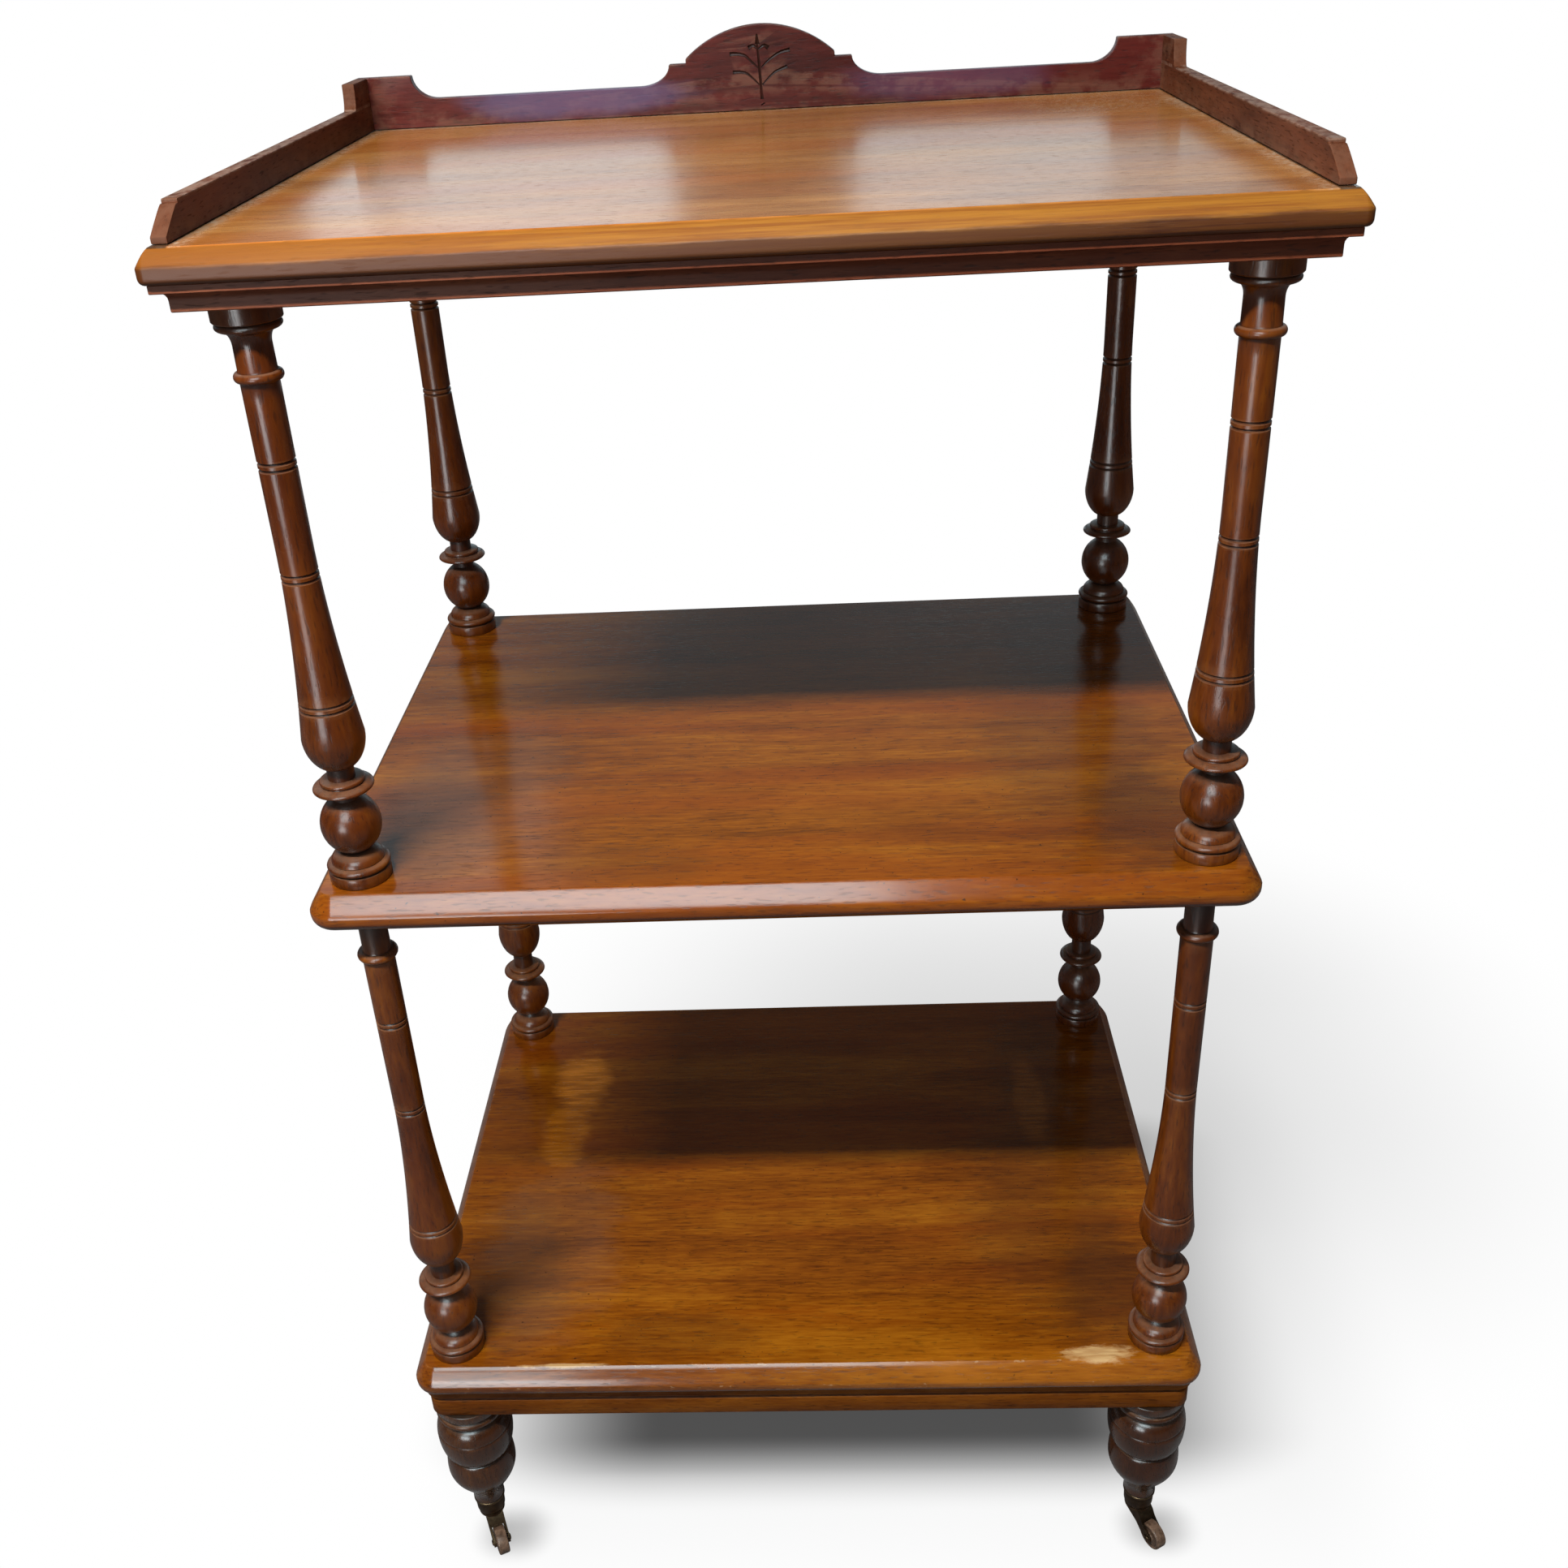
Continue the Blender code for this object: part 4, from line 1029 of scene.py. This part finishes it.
def stripMesh(section, side, half, reach, corner, foot):
    # one section swept along its side, and with a round corner also round half of each corner
    steps = 5 if corner > 0.001 else 0
    shares = [1 - i / steps for i in range(steps + 1)] if steps else [1.0]
    stops = [(-1, share) for share in shares] + [(1, share) for share in reversed(shares)]
    rings = []
    for end, share in stops:
        turn = math.pi / 4 * share
        ring = []
        for inset, height in section:
            radius = max(corner - inset, 0.0005)
            along = end * (half - inset - radius + radius * math.sin(turn) - 0.0002)
            out = reach - inset - radius + radius * math.cos(turn)
            ring.append(placeOnSide(side, along, out, foot + height))
        rings.append(ring)
    return ringedMesh("strip", rings)


for label, section, corner in (("cornice", corniceSection, 0.0005), ("frieze", friezeSection, 0.014)):
    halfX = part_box(f"{label}_right")[1].x
    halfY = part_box(f"{label}_rear")[1].y
    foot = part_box(f"{label}_front")[0].z
    for side in ("front", "rear", "left", "right"):
        seed += 1.0
        lengthwise = side in ("front", "rear")
        half, reach = (halfX, halfY) if lengthwise else (halfY, halfX)
        mesh = stripMesh(section, side, half, reach, corner, foot)
        grainAxes = "xyz" if lengthwise else "yxz"
        addPiece(f"{label}_{side}_moulded", mesh, label, f"{label}_{side}", "stand",
                 grainAxes, seed, sharpest=0.3, soften=30)
print("mouldings swept: 8")


# Gallery: shaped back with a carved sprig, and two low sides

def backOutline(half):
    ear, rail, crest, archHalf = [gallery[key] for key in ("ear", "rail", "crestRise", "archHalf")]
    earSweep, crestSweep = gallery["earSweep"], gallery["crestSweep"]
    points = [(half, 0.0), (half, ear)]
    points += arc(half - gallery["earWidth"] - earSweep, ear, earSweep, ear - rail, 0, -90, 10)
    points += arc(gallery["crestHalf"], crest, crestSweep, crest - rail, -90, -180, 10)
    points.append((archHalf, crest))
    rise = gallery["archTop"] - gallery["archFoot"]
    radius = (archHalf ** 2 + rise ** 2) / (2 * rise)
    reach = math.degrees(math.asin(archHalf / radius))
    points += arc(0.0, gallery["archTop"] - radius, radius, radius, 90 - reach, 90, 14)
    return points + [(-x, z) for x, z in reversed(points[:-1])]


def sideOutline(rear, front):
    ear, rail, notch, drop = [gallery[key] for key in ("ear", "sideRail", "frontNotch", "sideDrop")]
    shoulder = front + gallery["frontShoulder"]
    earEnd = rear - gallery["sideEar"]
    points = [(rear, 0.0), (rear, ear), (earEnd, ear)]
    points += arc(earEnd - drop, ear, drop, ear - rail, 0, -90, 8)[1:]
    points += [(shoulder, rail), (shoulder, rail - notch)]
    noseFoot = gallery["frontFoot"]
    noseRise = rail - notch - noseFoot
    nose = shoulder - notch
    for along, height in arc(nose, noseFoot, nose - front, noseRise, 90, 180, 10):
        straight = nose - (nose - front) * (rail - notch - height) / noseRise
        points.append((straight + (along - straight) * gallery["noseRound"], height))
    return points + [(front, 0.0)]


def easedBoard(points, push):
    bm = thickOutline(points, push)
    rims = [edge for edge in bm.edges if edge.calc_face_angle(0.0) > math.radians(50)]
    bmesh.ops.bevel(bm, geom=rims, offset=gallery["ease"], segments=2, profile=0.5, affect="EDGES",
                    clamp_overlap=True)
    return meshOf(bm, "board")


# The sprig: gouge strokes as (across, up) points from the crest's middle, in metres
sprigStrokes = [
    ([(-0.0018, 0.05), (-0.0012, 0.04), (-0.0004, 0.025), (0.0004, 0.008)], (0.0008, 0.0013)),
    ([(-0.0018, 0.057), (-0.0018, 0.0535), (-0.0016, 0.0495)], (0.0006, 0.002)),
    ([(-0.001, 0.0455), (-0.005, 0.0485), (-0.0092, 0.0468)], (0.0008, 0.0018)),
    ([(-0.001, 0.0455), (0.0035, 0.0482), (0.0072, 0.0462)], (0.0008, 0.0018)),
    ([(-0.0016, 0.0318), (-0.0068, 0.0365), (-0.012, 0.0412), (-0.018, 0.0428), (-0.0245, 0.043)],
     (0.0006, 0.0017)),
    ([(0.0008, 0.0318), (0.0062, 0.0365), (0.0125, 0.0405), (0.0185, 0.043), (0.0246, 0.044)],
     (0.0006, 0.0017)),
    ([(-0.0012, 0.019), (-0.0062, 0.0238), (-0.011, 0.0278), (-0.0165, 0.0292), (-0.0226, 0.0293)],
     (0.0006, 0.0015)),
    ([(0.0012, 0.019), (0.0066, 0.024), (0.0118, 0.028), (0.017, 0.03), (0.0222, 0.0318)],
     (0.0006, 0.0015)),
    ([(0.0008, 0.0048), (0.0012, 0.004)], (0.0018, 0.0018)),
]


def smoothPath(points, steps):
    # a soft curve through the points
    if len(points) < 3:
        return [Vector(point) for point in points]
    ends = [Vector(points[0]) * 2 - Vector(points[1])] + [Vector(p) for p in points]
    ends.append(Vector(points[-1]) * 2 - Vector(points[-2]))
    path = []
    for a, b, c, d in zip(ends, ends[1:], ends[2:], ends[3:]):
        for i in range(steps):
            t = i / steps
            path.append(0.5 * (2 * b + (c - a) * t + (2 * a - 5 * b + 4 * c - d) * t * t
                               + (3 * b - a - 3 * c + d) * t ** 3))
    return path + [ends[-2]]


def strokeCutter(name, points, widths, faceY, foot):
    path = smoothPath(points, 4)
    rings = []
    for i, spot in enumerate(path):
        ahead = (path[min(i + 1, len(path) - 1)] - path[max(i - 1, 0)]).normalized()
        side = Vector((-ahead.y, ahead.x))
        half = widths[0] + (widths[1] - widths[0]) * i / (len(path) - 1)
        ring = []
        for k in range(8):
            turn = math.tau * k / 8
            out = side * half * math.cos(turn)
            ring.append((spot.x + out.x, faceY + half * 0.85 * math.sin(turn), foot + spot.y + out.y))
        rings.append(ring)
    mesh = ringedMesh(name, rings)
    mesh.materials.append(finishes["carved"])
    return newObject(name, mesh)


def bakedMesh(work):
    # a working piece's mesh with its modifiers in it
    bpy.context.view_layer.update()
    result = bpy.data.meshes.new_from_object(work.evaluated_get(bpy.context.evaluated_depsgraph_get()))
    bpy.data.objects.remove(work)
    return result


def cutWith(mesh, tools, operations):
    work = newObject("work", mesh)
    for tool, operation in zip(tools, operations):
        cut = work.modifiers.new(tool.name, "BOOLEAN")
        cut.operation = operation
        cut.object = tool
        cut.material_mode = "TRANSFER"
    result = bakedMesh(work)
    for tool in tools:
        bpy.data.objects.remove(tool)
    return result


backLow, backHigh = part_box("gallery_back")
galleryFoot = backLow.z
points = [(x, backLow.y, galleryFoot + z) for x, z in backOutline(backHigh.x)]
mesh = easedBoard(points, (0.0, backHigh.y - backLow.y, 0.0))
mesh.materials.append(finishes["gallery"])
tools = [strokeCutter(f"stroke{i}", points, widths, backLow.y, galleryFoot)
         for i, (points, widths) in enumerate(sprigStrokes)]
mesh = cutWith(mesh, tools, ["DIFFERENCE"] * len(tools))
seed += 1.0
piece = addPiece("galleryBack", mesh, "gallery", "gallery_back", "stand", "xyz", seed,
                 sharpest=0.35, soften=30)
evenShading(piece)
for side in ("left", "right"):
    seed += 1.0
    low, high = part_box(f"gallery_{side}")
    points = [(low.x, y, galleryFoot + z) for y, z in sideOutline(high.y, low.y)]
    mesh = easedBoard(points, (high.x - low.x, 0.0, 0.0))
    piece = addPiece(f"gallery_{side}_board", mesh, "gallerySide", f"gallery_{side}", "stand",
                     "yxz", seed, sharpest=0.35, soften=30)
    evenShading(piece)
print("gallery cut and carved: 3")


# Casters: cup, horn, pin, axle and wheel, each placed and turned as its solid is

cup = {"rim": 0.0142, "foot": 0.0122, "height": 0.0185, "wall": 0.0012, "bore": 0.0036}
pin = {"head": 0.0052, "stem": 0.003}
wheel = {"radius": 0.0127, "half": 0.005, "edge": 0.0016, "bore": 0.0021}
horn = {
    "trail": 0.023,
    "cheek": 0.0022,
    "slotHalf": 0.0056,
    "slotRadius": 0.0134,
    "boss": 0.0118,
    "bossHeight": 0.0028,
    "eye": 0.0046,
    "back": 0.008,
    "front": 0.0084,
    "throat": 0.015,
    "backDrop": 0.0085,
    "throatDrop": 0.0085,
    "ease": 0.0005,
}


def cupOutline():
    rim, foot, height = cup["rim"], cup["foot"], cup["height"]
    points = [(rim - cup["wall"], 0.0), (rim - 0.0004, 0.0), (rim, -0.0005), (rim, -0.0024)]
    points += [(rim - 0.0005, -0.003), (rim - 0.0009, -0.0034), (foot + 0.0006, 0.003 - height)]
    points += [(foot, 0.0012 - height), (foot - 0.0011, -height), (cup["bore"], -height)]
    return points + [(cup["bore"], 0.0015 - height), (foot - 0.0022, 0.002 - height)]


def bothSides(upper):
    return upper + [(radius, -height) for radius, height in reversed(upper)]


def wheelOutline():
    radius, half, edge = wheel["radius"], wheel["half"], wheel["edge"]
    upper = [(wheel["bore"], half), (0.0044, half), (0.0048, half - 0.0004), (0.0056, half - 0.0007)]
    upper += [(radius - 0.0034, half - 0.0007), (radius - 0.0026, half - 0.0002)]
    return bothSides(upper + arc(radius - edge, half - edge, edge, edge, 85, 5, 5))


def rivetOutline():
    seat = horn["slotHalf"] + horn["cheek"] + joinGap
    upper = [(0.0, seat + 0.001), (0.0012, seat + 0.00095), (0.0022, seat + 0.0007)]
    return bothSides(upper + [(0.0029, seat + 0.0002), (0.003, seat), (0.0018, seat)])


def pinOutline(top, end):
    head, stem = pin["head"], pin["stem"]
    under = top - 0.0024
    return [(0.0, top), (head, top - 0.0012), (head, under), (stem, under), (stem, end), (0.0, end)]


def rodOutline(radius, top, bottom):
    return [(0.0, top), (radius, top), (radius, bottom), (0.0, bottom)]


def onAxle():
    # a turned piece laid across the horn, on the wheel's axle
    return Matrix.Translation((horn["trail"], 0.0, wheel["radius"])) @ Matrix.Rotation(math.pi / 2, 4, "X")


def hornMesh(top):
    trail, front, throat, bossHeight = [horn[key] for key in ("trail", "front", "throat", "bossHeight")]
    drop, throatDrop, slot = horn["backDrop"], horn["throatDrop"], horn["slotHalf"]
    half, back = slot + horn["cheek"], -horn["back"]
    crown = top - bossHeight / 2
    outline = [(back, crown), (back, crown - drop * 0.8), (back + 0.0012, crown - drop)]
    outline += [(trail * 0.35, crown - drop * 1.75)]
    outline += arc(trail, wheel["radius"], horn["eye"], horn["eye"], -125, 45, 12)
    outline += [(throat + 0.0026, crown - throatDrop * 1.35), (throat, crown - throatDrop)]
    outline += [(throat * 0.82, crown - throatDrop * 0.42), (front + 0.0012, crown - 0.0009)]
    outline += [(front - 0.0004, crown)]
    mesh = meshOf(thickOutline([(x, -half, z) for x, z in outline], (0.0, 2 * half, 0.0)), "hornBlank")
    tools = [turnedMesh(rodOutline(horn["boss"], top, top - bossHeight), 48),
             turnedMesh(rodOutline(horn["slotRadius"], slot, -slot), 64),
             turnedMesh(rodOutline(wheel["bore"], half + 0.002, -half - 0.002), 24)]
    for tool in tools[1:]:
        tool.transform(onAxle())
    objects = [newObject(f"hornTool{i}", tool) for i, tool in enumerate(tools)]
    return cutWith(mesh, objects, ["UNION", "DIFFERENCE", "DIFFERENCE"])


def softenedMesh(mesh, width):
    work = newObject("work", mesh)
    ease = work.modifiers.new("ease", "BEVEL")
    ease.width = width
    ease.segments = 2
    ease.limit_method = "ANGLE"
    ease.angle_limit = math.radians(40)
    return bakedMesh(work)


def fitBrass(name, node, mesh, body, corner, sharpest=0.3, soften=35):
    return addPiece(f"{name}_{corner}", mesh, "brass", f"{node}_{corner}", body, "xyz", seed,
                    sharpest, soften)


joints = {joint["name"]: joint for joint in frame["joints"]}
for corner in corners:
    seed += 1.0
    hub = Vector(joints[f"roll_{corner}"]["pos_m"])
    leg = middle(f"foot_{corner}")
    heading = math.atan2(hub.y - leg.y, hub.x - leg.x)
    swivel = Matrix.Translation((leg.x, leg.y, 0.0)) @ Matrix.Rotation(heading, 4, "Z")
    swivelBody = f"caster_swivel_{corner}"
    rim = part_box(f"caster_cup_{corner}")[1].z
    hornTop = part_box(f"caster_horn_{corner}")[1].z
    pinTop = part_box(f"swivel_pin_{corner}")[1].z
    mesh = turnedMesh(cupOutline(), 48, (leg.x, leg.y, rim), True)
    fitBrass("casterCup", "caster_cup", mesh, "stand", corner)
    mesh = softenedMesh(hornMesh(hornTop), horn["ease"])
    mesh.transform(swivel)
    mesh.materials.clear()
    evenShading(fitBrass("casterHorn", "caster_horn", mesh, swivelBody, corner, sharpest=0.35, soften=40))
    mesh = turnedMesh(pinOutline(pinTop, hornTop + joinGap), 24, (leg.x, leg.y, 0.0))
    fitBrass("swivelPin", "swivel_pin", mesh, swivelBody, corner, sharpest=0.22)
    mesh = turnedMesh(rivetOutline(), 24)
    mesh.transform(swivel @ onAxle())
    fitBrass("wheelAxle", "wheel_axle", mesh, swivelBody, corner)
    mesh = turnedMesh(wheelOutline(), 56, closed=True)
    mesh.transform(swivel @ onAxle())
    addPiece(f"casterWheel_{corner}", mesh, "wheel", f"caster_wheel_{corner}", f"caster_roller_{corner}",
             "xyz", seed, sharpest=0.3)
print("casters fitted: 4")


# Floor, light and camera

floorLook = {
    "half": 40.0,
    "seenColour": (0.08, 0.078, 0.075),
    "plainColour": (0.15, 0.15, 0.15),
    # soft shade as (centre, half size, soft edge, strength)
    "shades": (
        ((0.05, 0.083), (0.2, 0.2), (0.26, 0.09), 0.92),
        ((0.296, 0.447), (0.1, 0.09), (0.67, 0.54), 0.27),
        ((0.102, 0.138), (0.33, 0.1), (0.2, 0.42), 0.16),
    ),
    "casterShade": ((0.004, 0.003), (0.042, 0.034), 0.48),  # the same without its centre
    "casterOffset": (0.018, -0.004),  # from the swivel pin to its middle
}


def layFloor():
    bm = bmesh.new()
    bmesh.ops.create_grid(bm, x_segments=2, y_segments=2, size=floorLook["half"])
    mesh = bpy.data.meshes.new("studioFloor")
    bm.to_mesh(mesh)
    bm.free()
    floor = newObject("studioFloor", mesh)
    material = bpy.data.materials.new("paleFloor")
    paint = Paint(material)
    x, y = paint.split(paint.node("ShaderNodeTexCoord", output=3))[:2]
    shades = list(floorLook["shades"])
    for corner in corners:
        spot = Vector(joints[f"swivel_{corner}"]["pos_m"]).xy + Vector(floorLook["casterOffset"])
        shades.append((spot, *floorLook["casterShade"]))
    light = None
    for centre, half, soft, strength in shades:
        awayX = ((x - centre[0]).size() - half[0]).atLeast(0.0) / soft[0]
        awayY = ((y - centre[1]).size() - half[1]).atLeast(0.0) / soft[1]
        kept = 1.0 - (1.0 - paint.step((awayX * awayX + awayY * awayY) ** 0.5, 0.0, 1.0)) * strength
        light = kept if light is None else light * kept
    white = paint.node("ShaderNodeEmission", {}, {"Color": (1.0, 1.0, 1.0), "Strength": 1.0})
    seenFloor = paint.node("ShaderNodeBsdfDiffuse", {}, {"Color": floorLook["seenColour"]})
    plainFloor = paint.node("ShaderNodeBsdfDiffuse", {}, {"Color": floorLook["plainColour"]})
    near = paint.mixed(light, seenFloor, white)
    camera = paint.node("ShaderNodeLightPath")
    shown = paint.mixed(camera, plainFloor, near)
    paint.node("ShaderNodeOutputMaterial", {}, {"Surface": shown})
    mesh.materials.append(material)


# The room round the stand, as glossy surfaces see it: pale low windows between soft darker gaps
roomLook = {
    "seen": 1.0,
    "ambient": 0.15,
    "window": 1.0,
    "gap": 0.16,
    "haze": 0.22,
    "wall": 0.5,
    "sideWall": 0.8,
    "dark": 0.06,
    "tint": (0.74, 0.92, 1.0),
    "wallTint": (1.0, 0.56, 0.2),
    "windowTop": 0.24,
    "hazeTop": 0.44,
    "wallTop": 0.55,
    # where each fades out, in degrees to the right of straight ahead
    "aheadEnds": (38.0, 75.0),
    "wallEnds": (4.0, 12.0),
    "sideWallEnds": (-12.8, -11.2),
    # panes as (from, to, brightness), in the same degrees
    "windows": ((-17.2, -14.7, 1.0), (-14.4, -4.7, 0.95), (1.4, 10.1, 0.78), (10.1, 14.6, 0.45),
                (15.5, 22.0, 0.8)),
}


def makeRoom():
    world = bpy.data.worlds.new("studio")
    bpy.context.scene.world = world
    paint = Paint(world)
    tint = roomLook["tint"]

    def level(name, colour=tint):
        return paint.node("ShaderNodeBackground", {}, {"Color": colour, "Strength": roomLook[name]})

    def between(value, start, end, soft):
        risen = paint.step(value, start - soft, start + soft)
        return risen * (1.0 - paint.step(value, end - soft, end + soft))

    def below(top, soft):
        return (1.0 - paint.step(z, roomLook[top], roomLook[top] + soft)) * ahead

    x, y, z = paint.split(paint.node("ShaderNodeTexCoord"))
    camera, mirrored, through = [paint.node("ShaderNodeLightPath", output=i) for i in (0, 3, 6)]
    glossy = (mirrored + through).clamped()
    bearing = paint.node("ShaderNodeMath", {"operation": "ARCTAN2"}, {0: x, 1: y}) * (180.0 / math.pi)
    ahead = 1.0 - paint.step(bearing.size(), *roomLook["aheadEnds"])
    panes = None
    for start, end, bright in roomLook["windows"]:
        pane = between(bearing, start, end, 0.6) * bright
        panes = pane if panes is None else panes + pane
    wall = paint.mixed(paint.step(bearing, *roomLook["wallEnds"]), level("wall", roomLook["wallTint"]),
                       level("dark"))
    wall = paint.mixed(1.0 - paint.step(bearing, *roomLook["sideWallEnds"]), wall, level("sideWall"))
    room = paint.mixed(below("wallTop", 0.05), level("dark"), wall)
    room = paint.mixed(below("hazeTop", 0.1), room, level("haze"))
    window = paint.mixed(panes, level("gap"), level("window"))
    room = paint.mixed(below("windowTop", 0.1), room, window)
    white = (1.0, 1.0, 1.0)
    surroundings = paint.mixed(glossy, level("ambient", white), room)
    shown = paint.mixed(camera, surroundings, level("seen", white))
    paint.node("ShaderNodeOutputWorld", {}, {"Surface": shown})


# "lights" lamps shine on surfaces, "mirrored" ones are seen in the polish
fillLamp = {"colour": (1.0, 1.0, 1.0), "lights": True, "mirrored": False}
panelLamp = {"colour": (0.72, 0.93, 1.0), "lights": False, "mirrored": True}
lamps = {
    "ceilingLamp": {**fillLamp, "place": (-0.62, -1.3, 2.62), "aim": (-0.62, -0.1, 0.7), "size": (1.1, 0.1),
                    "watts": 86.0},
    "windowPanel": {**panelLamp, "place": (-0.6, -2.6, 2.75), "aim": (-0.6, 0.0, 1.6), "size": (1.6, 1.9),
                    "watts": 76.0},
    "lowPanel": {**panelLamp, "place": (-1.05, -2.6, 1.05), "aim": (0.0, 0.0, 0.5), "size": (0.85, 0.8),
                 "watts": 11.0},
    "frontFill": {**fillLamp, "place": (0.1, -3.0, 0.85), "aim": (0.0, 0.0, 0.7), "size": (2.0, 1.2),
                  "watts": 8.0},
    "leftFill": {**fillLamp, "place": (-3.2, 0.1, 0.5), "aim": (0.0, 0.0, 0.65), "size": (2.0, 0.8),
                 "watts": 12.0},
    "rightFill": {**fillLamp, "place": (3.2, 0.1, 0.5), "aim": (0.0, 0.0, 0.65), "size": (2.0, 0.8),
                  "watts": 9.0},
    "footPanel": {**panelLamp, "place": (-0.95, -2.5, 0.5), "aim": (0.0, 0.0, 0.15), "size": (0.95, 0.55),
                  "watts": 13.0, "colour": (0.9, 0.97, 1.0)},
    "rearFill": {**fillLamp, "place": (0.2, 3.2, 0.3), "aim": (0.0, 0.0, 0.75), "size": (2.4, 0.5),
                 "watts": 34.0},
}


def hangLamps():
    for name, lamp in lamps.items():
        data = bpy.data.lights.new(name, "AREA")
        data.shape = "RECTANGLE"
        data.size, data.size_y = lamp["size"]
        data.energy = lamp["watts"]
        data.color = lamp["colour"]
        light = newObject(name, data)
        light.location = lamp["place"]
        aim = Vector(lamp["aim"]) - Vector(lamp["place"])
        light.rotation_euler = aim.to_track_quat("-Z", "Y").to_euler()
        light.visible_glossy = lamp["mirrored"]
        light.visible_diffuse = lamp["lights"]


view = {
    "place": (0.03914, -1.16286, 1.3351),
    "turn": (60.6406, 3.0088, 1.6492),  # degrees about X, Y and Z
    "lens": 36.07,
    "shift": (0.02114, -0.00148),
}


def setCamera():
    data = bpy.data.cameras.new("photoCamera")
    data.lens = view["lens"]
    data.sensor_width = 36.0
    data.shift_x, data.shift_y = view["shift"]
    data.clip_start = 0.01
    camera = newObject("photoCamera", data)
    camera.location = view["place"]
    camera.rotation_euler = Euler([math.radians(turn) for turn in view["turn"]])
    bpy.context.scene.camera = camera


layFloor()
makeRoom()
hangLamps()
setCamera()
bpy.context.scene.view_settings.view_transform = "Standard"
print("floor, room, lamps and camera set")
